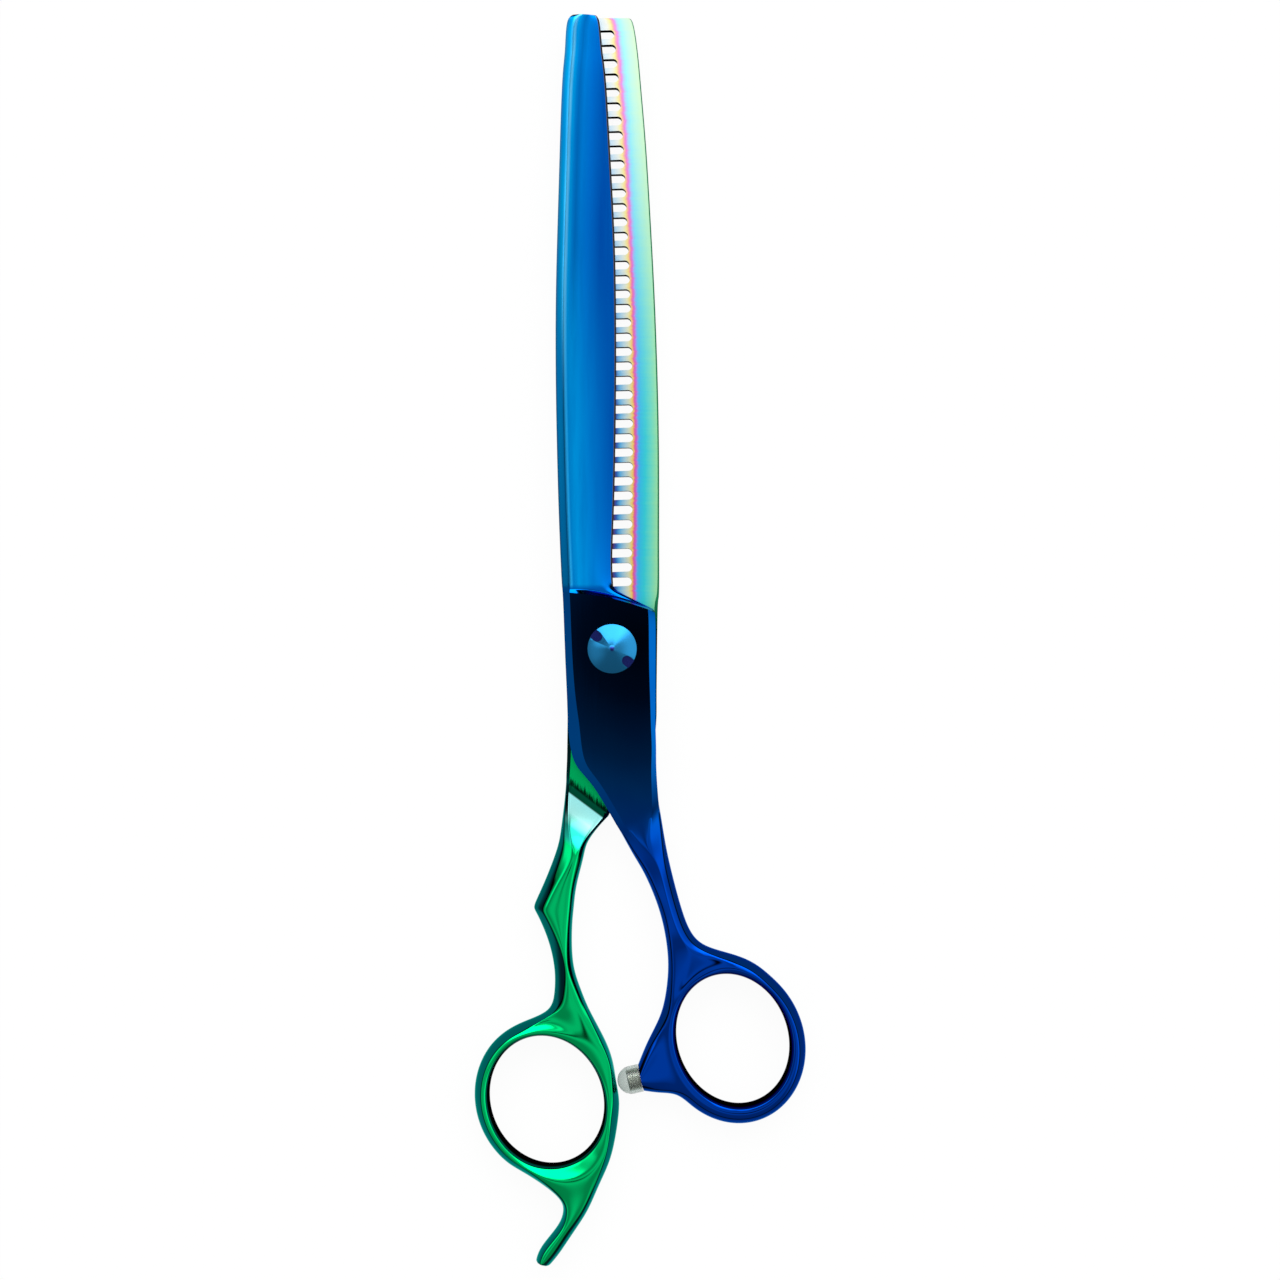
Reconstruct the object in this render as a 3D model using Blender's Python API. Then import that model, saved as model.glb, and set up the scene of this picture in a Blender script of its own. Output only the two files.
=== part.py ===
"""Thinning shears: a plain blade and a comb blade on a tension screw.

Sizes are in millimetres and become metres when a mesh is made. The shears lie closed and flat in
XY with the tips along +Y and the handles along -Y. The pivot is the Z axis, the back rests on
Z = 0 and the plain half is in front, on the +Z side.
"""

import math
from collections import namedtuple

import bmesh
import bpy
import numpy as np
from mathutils import Vector

MM = 0.001

# Thickness through the pivot
HALF_THICKNESS = 2.9      # each half at its boss
RIDE_GAP = 0.2            # air between the two inner faces
HANDLE_CROWN = 0.55       # how far the middle of a handle stands above its shoulders
HANDLE_INSET = 1.0        # how far its shoulders lie inside its sides
CROWN_LIFT = 1.5          # a crown starts this many times too high, because smoothing lowers it

# Blades
BLADE_TIP = 111.4         # from the pivot to the tips
BLADE_HEEL = 11.0         # from the pivot to the end of the cutting edge
SPINE_THICKNESS = 2.4     # plain blade along its spine at the heel
TIP_THICKNESS = 1.1       # plain blade along its spine at the tip
EDGE_THICKNESS = 0.15     # land along the cutting edge
BEVEL_WIDTH = 0.9         # ground bevel beside the cutting edge
BEVEL_RISE = 0.4          # height of that bevel
SPINE_FACET = 1.4         # narrow facet along the spine
FACE_CROWN_HEEL = 0.2     # bulge of the plain blade's face at the heel
FACE_CROWN_TIP = 0.05     # the same at the tip
BOSS_CHAMFER = 1.3        # width of the chamfers beside the boss flat, at the blade
NECK_CHAMFER = 2.4        # the same where the boss runs into the handle
BOSS_CHAMFER_DROP = 1.2   # height of those chamfers

# Comb teeth
TOOTH_PITCH = 2.534
SLOT_WIDTH = 1.55
SLOT_TILT = 2.0           # degrees that the slots rise towards the spine
FIRST_SLOT = 11.85        # from the pivot to the middle of the slot nearest to it
TIP_BRIDGE = 2.4          # solid metal left between the last slot and the tip
COMB_BACK_HEEL = 4.85     # solid metal between the slots and the spine, at the heel
COMB_BACK_TIP = 3.7       # the same at the tip
COMB_THICKNESS_HEEL = 2.2 # along the spine
COMB_THICKNESS_TIP = 1.2
TOOTH_THICKNESS_HEEL = 1.3
TOOTH_THICKNESS_TIP = 0.9
TOOTH_BACK_BREAK = 0.4    # rounded back edge of the tooth tips
TOOTH_FACE_BREAK = 0.05   # cutting edge of the tooth tips
SPINE_BREAK_TIP = 0.15    # broken edge between the comb's face and its spine
SPINE_BREAK_HEEL = 0.3
SPINE_BREAK_BOSS = 0.6
COMB_BACK_BULGE = 0.05    # bulge of the comb's back
NOTCH_WIDTH = 0.5         # hair notch in each tooth tip
NOTCH_DEPTH = 0.5

# Finger rings
RING_TILT = 110.0         # direction of the long axis of both holes, degrees from +X
PLAIN_RING_X = 21.2
PLAIN_RING_Y = -68.6
PLAIN_HOLE_LONG = 23.2
PLAIN_HOLE_SHORT = 19.4
PLAIN_BAND = 3.0          # mean width of the metal round the hole
PLAIN_BAND_SWING = 0.55   # how much wider than the mean the band gets
PLAIN_BAND_WIDEST = 255.0 # where it is widest, degrees from +X
COMB_RING_X = -11.5
COMB_RING_Y = -79.3
COMB_HOLE_LONG = 22.8
COMB_HOLE_SHORT = 19.7
COMB_BAND = 2.7
RING_OUTER_SHOULDER = 1.0
RING_INNER_SHOULDER = 0.8

# Tension screw and what it holds
SCREW_RADIUS = 2.5
HEAD_RADIUS = 4.35
HEAD_RIM = 0.45
HEAD_RISE = 0.1           # rim of the head above the boss
HEAD_CONE = 1.1
HEAD_POINT = 0.35         # radius of the rounded point of the cone
KEY_SLOT_WIDTH = 1.75
KEY_SLOT_LENGTH = 1.9
KEY_SLOT_FLOOR = 0.2      # metal left under the key slots
KEY_SLOT_ANGLE = 141.0    # degrees from +X
THRUST_THICKNESS = 0.4
SPRING_THICKNESS = 0.25
SPRING_DISH = 0.2
BUSH_WALL = 0.9
RIDE_WASHER_WIDTH = 2.8
RIDE_WASHER_THICKNESS = 0.7
NUT_WALL = 1.1
NUT_FLANGE_WIDTH = 1.2
NUT_FLANGE_THICKNESS = 1.0
NUT_FLOOR = 0.6           # closed back of the nut
TURN_GAP = 0.12           # round a part that turns
SEAT_GAP = 0.1            # under a part that is seated
HEAD_GAP = 0.25           # round the head in its counterbore
OVERCUT = 1.0             # how far a cutter runs past what it cuts

# Bumper
BUMPER_ANGLE = 13.0       # where it meets the comb ring, degrees from +X
BUMPER_LENGTH = 4.1
BUMPER_RADIUS = 2.45
BUMPER_GAP = 0.2          # to the comb ring when closed
STUD_RADIUS = 1.0
STUD_HEAD_RADIUS = 1.45
STUD_HEAD_LENGTH = 2.1
STUD_THREAD_LENGTH = 3.0
STUD_SLOT_WIDTH = 0.5
STUD_SLOT_DEPTH = 0.7
TANG_HALF_WIDTH = 2.35

# Mesh density
SPANS = 4                 # quads across a blade or a handle
RING_STATIONS = 24
ROUND_STEPS = 40
SUBDIVISION = 1
SLOT_STEPS = 6            # facets round the root of a slot
DOME_STEPS = 6            # facets from the top of the bumper to its side
HANDLE_CREASE = 0.45
STRAIGHT = 1.0
SHARP_ANGLE = 35.0        # degrees between faces that are shaded with an edge
MERGE_DISTANCE = 1e-7     # metres

# Levels
COMB_RIDE = HALF_THICKNESS
PARTING = COMB_RIDE + RIDE_GAP / 2
PLAIN_RIDE = COMB_RIDE + RIDE_GAP
BOSS_TOP = PLAIN_RIDE + HALF_THICKNESS
HANDLE_SHOULDER = PARTING - HANDLE_CROWN

# Outlines, as chords from the left rail to the right rail. A blade's chords give a fraction of
# its length from the heel to the tip, then the two sides. The others give the two end points.
PLAIN_BLADE = (
    (1.0, -6.9, -2.9), (0.985, -7.95, -2.2), (0.94, -8.3, -1.75), (0.9, -8.65, -1.25),
    (0.83, -9.0, -0.75), (0.73, -9.3, -0.2), (0.61, -9.65, 0.4), (0.49, -9.9, 0.65),
    (0.37, -9.9, 0.68), (0.25, -9.7, 0.55), (0.14, -9.4, 0.3), (0.05, -9.05, 0.0),
    (0.0, -8.8, 0.15),
)
PLAIN_BOSS = (
    ((-8.7, 9.9), (7.1, 6.6)), ((-8.5, 6.0), (7.6, 3.6)), ((-8.2, -2.0), (7.6, -3.0)),
    ((-7.9, -9.0), (7.6, -9.5)), ((-7.7, -14.0), (7.6, -13.5)), ((-6.6, -19.8), (7.7, -17.3)),
    ((-3.4, -24.0), (7.75, -21.3)), ((0.4, -30.3), (8.1, -26.2)),
)
PLAIN_SHANK = (
    ((3.2, -35.3), (8.9, -31.4)), ((5.5, -39.3), (9.85, -36.6)), ((7.3, -43.3), (11.0, -41.4)),
    ((8.6, -47.2), (12.3, -46.0)), ((9.45, -51.3), (13.8, -49.7)), ((10.0, -56.0), (15.9, -52.4)),
)
COMB_BLADE = (
    (0.996, -4.6, 2.95), (0.983, -4.4, 3.75), (0.93, -3.7, 4.55), (0.86, -2.9, 5.2),
    (0.77, -2.4, 5.95), (0.65, -1.8, 6.7), (0.52, -1.4, 7.4), (0.39, -1.35, 7.9),
    (0.26, -1.45, 8.2), (0.14, -1.75, 8.25), (0.06, -2.0, 8.25), (-0.005, -2.2, 8.25),
)
COMB_BOSS = (
    ((-7.6, 6.6), (8.2, 8.5)), ((-8.15, 4.2), (8.15, 5.0)), ((-8.1, -3.0), (8.1, -3.0)),
    ((-7.95, -9.0), (8.0, -9.0)), ((-7.9, -13.0), (7.8, -13.5)), ((-7.95, -17.0), (6.5, -19.4)),
    ((-8.1, -21.0), (3.0, -24.4)), ((-8.4, -25.3), (-1.2, -29.2)),
)
COMB_SHANK = (
    ((-8.9, -30.3), (-3.6, -33.0)), ((-9.8, -35.3), (-5.1, -36.8)), ((-11.6, -40.2), (-6.2, -41.2)),
    ((-13.1, -43.6), (-6.7, -44.6)), ((-13.75, -45.4), (-6.9, -46.6)), ((-13.1, -47.0), (-7.05, -48.6)),
    ((-11.3, -51.3), (-7.1, -52.0)), ((-10.2, -56.3), (-6.7, -56.2)), ((-10.2, -60.4), (-5.5, -60.0)),
    ((-10.7, -63.8), (-4.3, -63.2)),
)
FINGER_REST = (
    ((-13.4, -107.5), (-11.0, -108.4)), ((-12.3, -105.0), (-9.2, -106.2)),
    ((-9.7, -101.6), (-6.9, -102.8)), ((-8.65, -98.9), (-4.4, -98.9)), ((-8.8, -96.5), (-2.5, -94.6)),
)

# How far the top edge of the boss flat swings along Y, from left to right
PLATEAU_SWEEP = (0.0, -0.35, 0.5, 0.5, 0.0)

# Swells that blend the rings into the handles: centre and half width in degrees, height
PLAIN_SWELLS = ((95.0, 45.0, 0.9),)
COMB_SWELLS = ((50.0, 40.0, 1.6), (312.0, 30.0, 1.4))

# Where the strips of metal join the rings, in degrees from left to right
PLAIN_SHANK_JOIN = (150, 135, 120, 105, 90)
PLAIN_TANG_JOIN = (165, 180, 195, 210, 225)
COMB_SHANK_JOIN = (105, 90, 75, 60, 45)
FINGER_REST_JOIN = (255, 270, 285, 300, 315)

Profile = namedtuple("Profile", "top top_inset crown side floor floor_inset belly roundness")
Ring = namedtuple("Ring", "centre long short band swing swells")


def pair(value):
    """The same value for the left and the right side."""
    return np.array((value, value))


def ends(left, right):
    """One value for the left side and one for the right side."""
    return np.array((left, right))


PLAIN_TIP_PROFILE = Profile(
    top=PLAIN_RIDE + ends(TIP_THICKNESS, BEVEL_RISE), top_inset=ends(SPINE_FACET, BEVEL_WIDTH),
    crown=FACE_CROWN_TIP, side=PLAIN_RIDE + ends(TIP_THICKNESS / 2, EDGE_THICKNESS),
    floor=pair(PLAIN_RIDE), floor_inset=pair(0.0), belly=0.0, roundness=0.0)
PLAIN_HEEL_PROFILE = PLAIN_TIP_PROFILE._replace(
    top=PLAIN_RIDE + ends(SPINE_THICKNESS, BEVEL_RISE), crown=FACE_CROWN_HEEL,
    side=PLAIN_RIDE + ends(SPINE_THICKNESS / 2, EDGE_THICKNESS))
PLAIN_BOSS_PROFILE = PLAIN_HEEL_PROFILE._replace(
    top=pair(BOSS_TOP), top_inset=pair(BOSS_CHAMFER), crown=0.0,
    side=pair(BOSS_TOP - BOSS_CHAMFER_DROP))
PLAIN_NECK_PROFILE = PLAIN_BOSS_PROFILE._replace(top_inset=ends(NECK_CHAMFER, BOSS_CHAMFER))
COMB_TIP_PROFILE = Profile(
    top=pair(COMB_RIDE), top_inset=ends(TOOTH_FACE_BREAK, SPINE_BREAK_TIP), crown=0.0,
    side=COMB_RIDE - pair(COMB_THICKNESS_TIP / 3),
    floor=COMB_RIDE - ends(TOOTH_THICKNESS_TIP, COMB_THICKNESS_TIP),
    floor_inset=ends(TOOTH_BACK_BREAK, SPINE_FACET), belly=COMB_BACK_BULGE, roundness=0.0)
COMB_HEEL_PROFILE = COMB_TIP_PROFILE._replace(
    top_inset=ends(TOOTH_FACE_BREAK, SPINE_BREAK_HEEL),
    side=COMB_RIDE - pair(COMB_THICKNESS_HEEL / 3),
    floor=COMB_RIDE - ends(TOOTH_THICKNESS_HEEL, COMB_THICKNESS_HEEL))
COMB_BOSS_PROFILE = COMB_HEEL_PROFILE._replace(
    top_inset=ends(TOOTH_FACE_BREAK, SPINE_BREAK_BOSS), side=pair(BOSS_CHAMFER_DROP),
    floor=pair(0.0), floor_inset=pair(BOSS_CHAMFER), belly=0.0)
HANDLE_PROFILE = Profile(
    top=pair(PARTING + HANDLE_SHOULDER), top_inset=pair(HANDLE_INSET), crown=HANDLE_CROWN,
    side=pair(PARTING), floor=pair(PARTING - HANDLE_SHOULDER), floor_inset=pair(HANDLE_INSET),
    belly=HANDLE_CROWN, roundness=1.0)

PLAIN_RING = Ring(np.array((PLAIN_RING_X, PLAIN_RING_Y)), PLAIN_HOLE_LONG / 2, PLAIN_HOLE_SHORT / 2,
                  PLAIN_BAND, PLAIN_BAND_SWING, PLAIN_SWELLS)
COMB_RING = Ring(np.array((COMB_RING_X, COMB_RING_Y)), COMB_HOLE_LONG / 2, COMB_HOLE_SHORT / 2,
                 COMB_BAND, 0.0, COMB_SWELLS)


def direction(degrees):
    """Unit vector in the plane."""
    return np.array((math.cos(math.radians(degrees)), math.sin(math.radians(degrees))))


def blend(start, end, amount=0.5):
    """Profile part of the way from one profile to another, or half way."""
    return Profile(*(a + (b - a) * amount for a, b in zip(start, end)))


def blended(start, end, count):
    """Evenly blended profiles, from one to the other."""
    return [blend(start, end, step / (count - 1)) for step in range(count)]


def blade_chords(rows):
    """Chords of a blade, from fractions of its length."""
    chords = []
    for fraction, left, right in rows:
        y = BLADE_HEEL + (BLADE_TIP - BLADE_HEEL) * fraction
        chords.append(((left, y), (right, y)))
    return chords


def through(points, closed=False):
    """Control points whose smooth curve passes through the given points."""
    points = np.array(points, dtype=float)
    count = len(points)
    weights = np.eye(count) * 4 / 6
    for row in range(count):
        weights[row, (row - 1) % count] += 1 / 6
        weights[row, (row + 1) % count] += 1 / 6
    if not closed:
        weights[0] = np.eye(count)[0]
        weights[-1] = np.eye(count)[-1]
    return np.linalg.solve(weights, points)


def section(left, right, profile):
    """Points round one section: left side, top, right side, then back along the floor.

    A round side is pulled in by its neighbours when it is smoothed, so it starts further out.
    """
    across = (right - left) / np.linalg.norm(right - left)
    push = (profile.top_inset + profile.floor_inset) / 4 * profile.roundness
    left_side = left - across * push[0]
    right_side = right + across * push[1]

    def row(height, inset, bulge):
        start = left + across * inset[0]
        end = right - across * inset[1]
        points = []
        for step in range(SPANS + 1):
            share = step / SPANS
            z = height[0] + (height[1] - height[0]) * share + bulge * 4 * share * (1 - share)
            points.append((*(start + (end - start) * share), z))
        return points

    top = row(profile.top, profile.top_inset, profile.crown)
    floor = row(profile.floor, profile.floor_inset, -profile.belly)
    return [(*left_side, profile.side[0]), *top, (*right_side, profile.side[1]), *reversed(floor)]


def new_vertices(mesh, points):
    """Vertices at points given in millimetres."""
    return [mesh.verts.new(Vector(point) * MM) for point in points]


def loft(mesh, loops):
    """Quads between each section and the next."""
    for near, far in zip(loops, loops[1:]):
        for i in range(len(near)):
            j = (i + 1) % len(near)
            mesh.faces.new((near[i], near[j], far[j], far[i]))


def cap(mesh, loop):
    """Grid of quads that closes the end of a strip."""
    top = loop[1:SPANS + 2]
    floor = loop[:SPANS + 2:-1]
    middle = [loop[0]]
    for i in range(1, SPANS):
        middle.append(mesh.verts.new((top[i].co + floor[i].co) / 2))
    middle.append(loop[SPANS + 2])
    for i in range(SPANS):
        mesh.faces.new((top[i], top[i + 1], middle[i + 1], middle[i]))
        mesh.faces.new((middle[i], middle[i + 1], floor[i + 1], floor[i]))


def crease(mesh, start, end, weight):
    """Sharpen the edge between two vertices."""
    layer = mesh.edges.layers.float["crease_edge"]
    mesh.edges.get((start, end))[layer] = weight


def crease_loop(mesh, loop, weight):
    """Sharpen the edges round a section."""
    for i in range(len(loop)):
        crease(mesh, loop[i - 1], loop[i], weight)


def strip(mesh, chords, profiles, join):
    """Blade or handle that starts with a closed end and runs into the boundary of a ring."""
    lefts = through([chord[0] for chord in chords])
    rights = through([chord[1] for chord in chords])
    loops = []
    for left, right, profile in zip(lefts, rights, profiles):
        loops.append(new_vertices(mesh, section(left, right, profile)))
    loft(mesh, loops + [join])
    cap(mesh, loops[0])
    corners = (1, SPANS + 1, SPANS + 3, 2 * SPANS + 3)
    sides = (0, SPANS + 2)
    straight = [profile.roundness == 0 for profile in profiles] + [False]
    for i, (near, far) in enumerate(zip(loops, loops[1:] + [join])):
        sharp = straight[i] and straight[i + 1]
        for rail in corners:
            crease(mesh, near[rail], far[rail], STRAIGHT if sharp else HANDLE_CREASE)
        for rail in sides:
            crease(mesh, near[rail], far[rail], STRAIGHT if sharp else 0.0)
    return loops


def hole_radius(ring, degrees):
    """Distance from the centre of a ring to the edge of its hole."""
    along, across = direction(degrees - RING_TILT)
    return ring.long * ring.short / math.hypot(ring.short * along, ring.long * across)


def outer_radius(ring, degrees):
    """Distance from the centre of a ring to its outer edge."""
    radius = hole_radius(ring, degrees) + ring.band
    radius += ring.swing * math.cos(math.radians(degrees - PLAIN_BAND_WIDEST))
    for centre, width, height in ring.swells:
        away = abs((degrees - centre + 180) % 360 - 180)
        if away < width:
            radius += height * math.cos(math.pi / 2 * away / width) ** 2
    return radius


def ring_band(mesh, ring, joins):
    """Finger ring with openings in its outer side. Returns the boundary of each opening.

    The sides start further out too, because smoothing pulls them in.
    """
    step = 360 / RING_STATIONS
    rails = [[] for _ in range(8)]
    for station in range(RING_STATIONS):
        degrees = station * step
        inner = hole_radius(ring, degrees)
        outer = outer_radius(ring, degrees)
        shoulder_in = inner + RING_INNER_SHOULDER
        shoulder_out = outer - RING_OUTER_SHOULDER
        middle = (shoulder_in + shoulder_out) / 2
        outer += RING_OUTER_SHOULDER / 2
        inner -= RING_INNER_SHOULDER / 2
        shoulder = HANDLE_SHOULDER
        crown = HANDLE_SHOULDER + HANDLE_CROWN * CROWN_LIFT
        section_points = (
            (outer, 0.0), (shoulder_out, shoulder), (middle, crown), (shoulder_in, shoulder),
            (inner, 0.0), (shoulder_in, -shoulder), (middle, -crown), (shoulder_out, -shoulder))
        for rail, (radius, height) in zip(rails, section_points):
            rail.append((*(ring.centre + direction(degrees) * radius), PARTING + height))
    rails = [new_vertices(mesh, through(rail, closed=True)) for rail in rails]
    joined = {}
    boundaries = []
    for join in joins:
        stations = [round(degrees / step) for degrees in join]
        joined.update({min(a, b): True for a, b in zip(stations, stations[1:])})
        outer, top, floor = rails[0], rails[1], rails[7]
        boundaries.append([outer[stations[0]], *(top[s] for s in stations), outer[stations[-1]],
                           *(floor[s] for s in reversed(stations))])
    for s in range(RING_STATIONS):
        after = (s + 1) % RING_STATIONS
        for side in range(8):
            if s in joined and side in (0, 7):
                continue
            a, b = rails[side], rails[(side + 1) % 8]
            mesh.faces.new((a[s], b[s], b[after], a[after]))
        for rail in (1, 3, 5, 7):
            if rail in (3, 5) or s not in joined:
                crease(mesh, rails[rail][s], rails[rail][after], HANDLE_CREASE)
    return boundaries


def new_cage():
    """Empty mesh that can hold sharpened edges."""
    mesh = bmesh.new()
    mesh.edges.layers.float.new("crease_edge")
    return mesh


def new_object(name, mesh, material):
    """Object made of an edited mesh, with its faces pointing out."""
    bmesh.ops.recalc_face_normals(mesh, faces=mesh.faces)
    data = bpy.data.meshes.new(name)
    mesh.to_mesh(data)
    mesh.free()
    data.shade_smooth()
    data.set_sharp_from_angle(angle=math.radians(SHARP_ANGLE))
    if material:
        data.materials.append(material)
    thing = bpy.data.objects.new(name, data)
    bpy.context.scene.collection.objects.link(thing)
    return thing


def smooth(thing):
    """Subdivision surface over a cage."""
    modifier = thing.modifiers.new("Smooth", "SUBSURF")
    modifier.levels = SUBDIVISION
    modifier.render_levels = SUBDIVISION


def cut(thing, cutter):
    """Cut one shape out of another and hide the cutter."""
    modifier = thing.modifiers.new(cutter.name, "BOOLEAN")
    modifier.operation = "DIFFERENCE"
    modifier.solver = "EXACT"
    modifier.object = cutter
    cutter.hide_render = True
    cutter.display_type = "WIRE"


def turned(name, profile, material=None):
    """Solid of revolution about Z from radius and height points that run round its section."""
    mesh = bmesh.new()
    vertices = new_vertices(mesh, [(radius, 0.0, z) for radius, z in profile])
    edges = [mesh.edges.new((vertices[i - 1], vertices[i])) for i in range(1, len(vertices))]
    if profile[0][0] > 0 or profile[-1][0] > 0:
        edges.append(mesh.edges.new((vertices[-1], vertices[0])))
    bmesh.ops.spin(mesh, geom=vertices + edges, axis=(0, 0, 1), cent=(0, 0, 0), dvec=(0, 0, 0),
                   angle=2 * math.pi, steps=ROUND_STEPS, use_merge=True)
    bmesh.ops.remove_doubles(mesh, verts=mesh.verts, dist=MERGE_DISTANCE)
    return new_object(name, mesh, material)


def add_prism(mesh, outline, bottom, top):
    """Upright prism on an outline of plane points."""
    low = new_vertices(mesh, [(*point, bottom) for point in outline])
    high = new_vertices(mesh, [(*point, top) for point in outline])
    mesh.faces.new(low)
    mesh.faces.new(high)
    for i in range(len(outline)):
        mesh.faces.new((low[i - 1], low[i], high[i], high[i - 1]))


def slot_outline(root, mouth, width):
    """Outline of a slot with a round root, from its innermost point to its open end."""
    root = np.array(root)
    mouth = np.array(mouth)
    along = (mouth - root) / np.linalg.norm(mouth - root)
    across = np.array((-along[1], along[0]))
    half = width / 2
    centre = root + along * half
    points = [mouth + across * half]
    for step in range(SLOT_STEPS + 1):
        turn = math.pi * step / SLOT_STEPS
        points.append(centre + across * half * math.cos(turn) - along * half * math.sin(turn))
    points.append(mouth - across * half)
    return points


def new_material(name, colour, roughness, metallic):
    """Plain finish for one slot."""
    material = bpy.data.materials.new(name)
    material.use_nodes = True
    shader = material.node_tree.nodes["Principled BSDF"]
    shader.inputs["Base Color"].default_value = (*colour, 1.0)
    shader.inputs["Roughness"].default_value = roughness
    shader.inputs["Metallic"].default_value = metallic
    return material


def bumper_frame():
    """Foot of the bumper on the end of the stop tang, and its axis towards the comb ring."""
    away = direction(BUMPER_ANGLE)
    contact = COMB_RING.centre + away * outer_radius(COMB_RING, BUMPER_ANGLE)
    return contact + away * (BUMPER_GAP + BUMPER_LENGTH), -away


def make_plain_blade(material):
    """Front half: cutting blade, boss, shank, finger ring and stop tang in one forging."""
    mesh = new_cage()
    shank_join, tang_join = ring_band(mesh, PLAIN_RING, (PLAIN_SHANK_JOIN, PLAIN_TANG_JOIN))
    blade = blade_chords(PLAIN_BLADE)
    profiles = blended(PLAIN_TIP_PROFILE, PLAIN_HEEL_PROFILE, len(blade))
    profiles += blended(PLAIN_BOSS_PROFILE, PLAIN_NECK_PROFILE, len(PLAIN_BOSS))
    profiles.append(blend(PLAIN_NECK_PROFILE, HANDLE_PROFILE))
    profiles += [HANDLE_PROFILE] * (len(PLAIN_SHANK) - 1)
    loops = strip(mesh, [*blade, *PLAIN_BOSS, *PLAIN_SHANK], profiles, shank_join)
    crease_loop(mesh, loops[0], STRAIGHT)
    plateau = loops[len(blade)]
    for i in range(1, SPANS + 1):
        crease(mesh, plateau[i], plateau[i + 1], STRAIGHT)
    for vertex, sweep in zip(plateau[1:], PLATEAU_SWEEP):
        vertex.co.y += sweep * MM

    foot, axis = bumper_frame()
    end = foot - axis * SEAT_GAP
    sideways = np.array((axis[1], -axis[0])) * TANG_HALF_WIDTH
    root = [np.array(tang_join[i].co.xy) / MM for i in (0, SPANS + 2)]
    end_chord = np.array((end + sideways, end - sideways))
    chords = [end_chord, (end_chord + root) / 2]
    tang = strip(mesh, chords, [HANDLE_PROFILE] * len(chords), tang_join)
    crease_loop(mesh, tang[0], STRAIGHT)

    thing = new_object("plain_blade", mesh, material)
    smooth(thing)
    bore = SCREW_RADIUS + 2 * TURN_GAP + BUSH_WALL
    recess = SCREW_RADIUS + 2 * TURN_GAP + RIDE_WASHER_WIDTH
    recess_top = PARTING + RIDE_WASHER_THICKNESS / 2 + SEAT_GAP
    mouth = HEAD_RADIUS + HEAD_GAP
    seat = counterbore_floor()
    high = BOSS_TOP + OVERCUT
    low = PLAIN_RIDE - OVERCUT
    cut(thing, turned("plain_bore_cutter", (
        (0.0, high), (mouth, high), (mouth, seat), (bore, seat), (bore, recess_top), (recess, recess_top),
        (recess, low), (0.0, low))))
    stud_hole = turned("stud_hole_cutter", (
        (0.0, OVERCUT), (STUD_RADIUS + TURN_GAP, OVERCUT),
        (STUD_RADIUS + TURN_GAP, -STUD_THREAD_LENGTH - SEAT_GAP), (0.0, -STUD_THREAD_LENGTH - SEAT_GAP)))
    place_on_bumper_axis(stud_hole)
    cut(thing, stud_hole)
    return thing


def counterbore_floor():
    """Height of the seat under the thrust washer."""
    return BOSS_TOP + HEAD_RISE - HEAD_RIM - stack_height()


def stack_height():
    """Height of the thrust washer, the spring washer and the gaps between them."""
    return THRUST_THICKNESS + SPRING_THICKNESS + SPRING_DISH + 3 * SEAT_GAP


def place_on_bumper_axis(thing):
    """Put a turned piece with its foot on the stop tang and its Z axis towards the comb ring."""
    foot, axis = bumper_frame()
    thing.location = Vector((*foot, PARTING)) * MM
    thing.rotation_euler = Vector((*axis, 0.0)).to_track_quat("Z", "Y").to_euler()


def make_comb_blade(material):
    """Back half: toothed blade, boss, shank, finger ring and finger rest in one forging."""
    mesh = new_cage()
    shank_join, rest_join = ring_band(mesh, COMB_RING, (COMB_SHANK_JOIN, FINGER_REST_JOIN))
    blade = blade_chords(COMB_BLADE)
    profiles = blended(COMB_TIP_PROFILE, COMB_HEEL_PROFILE, len(blade))
    profiles += [COMB_BOSS_PROFILE] * len(COMB_BOSS)
    profiles.append(blend(COMB_BOSS_PROFILE, HANDLE_PROFILE))
    profiles += [HANDLE_PROFILE] * (len(COMB_SHANK) - 1)
    loops = strip(mesh, [*blade, *COMB_BOSS, *COMB_SHANK], profiles, shank_join)
    crease_loop(mesh, loops[0], STRAIGHT)
    rest = strip(mesh, FINGER_REST, [HANDLE_PROFILE] * len(FINGER_REST), rest_join)
    crease_loop(mesh, rest[0], HANDLE_CREASE)

    thing = new_object("comb_blade", mesh, material)
    smooth(thing)
    barrel = nut_barrel() + TURN_GAP
    flange = nut_flange() + TURN_GAP
    recess = SCREW_RADIUS + 2 * TURN_GAP + RIDE_WASHER_WIDTH
    recess_floor = PARTING - RIDE_WASHER_THICKNESS / 2 - SEAT_GAP
    seat = NUT_FLANGE_THICKNESS + SEAT_GAP
    high = COMB_RIDE + OVERCUT
    cut(thing, turned("comb_bore_cutter", (
        (0.0, high), (recess, high), (recess, recess_floor), (barrel, recess_floor), (barrel, seat),
        (flange, seat), (flange, -OVERCUT), (0.0, -OVERCUT))))
    cut(thing, make_slot_cutter(blade))
    return thing


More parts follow.
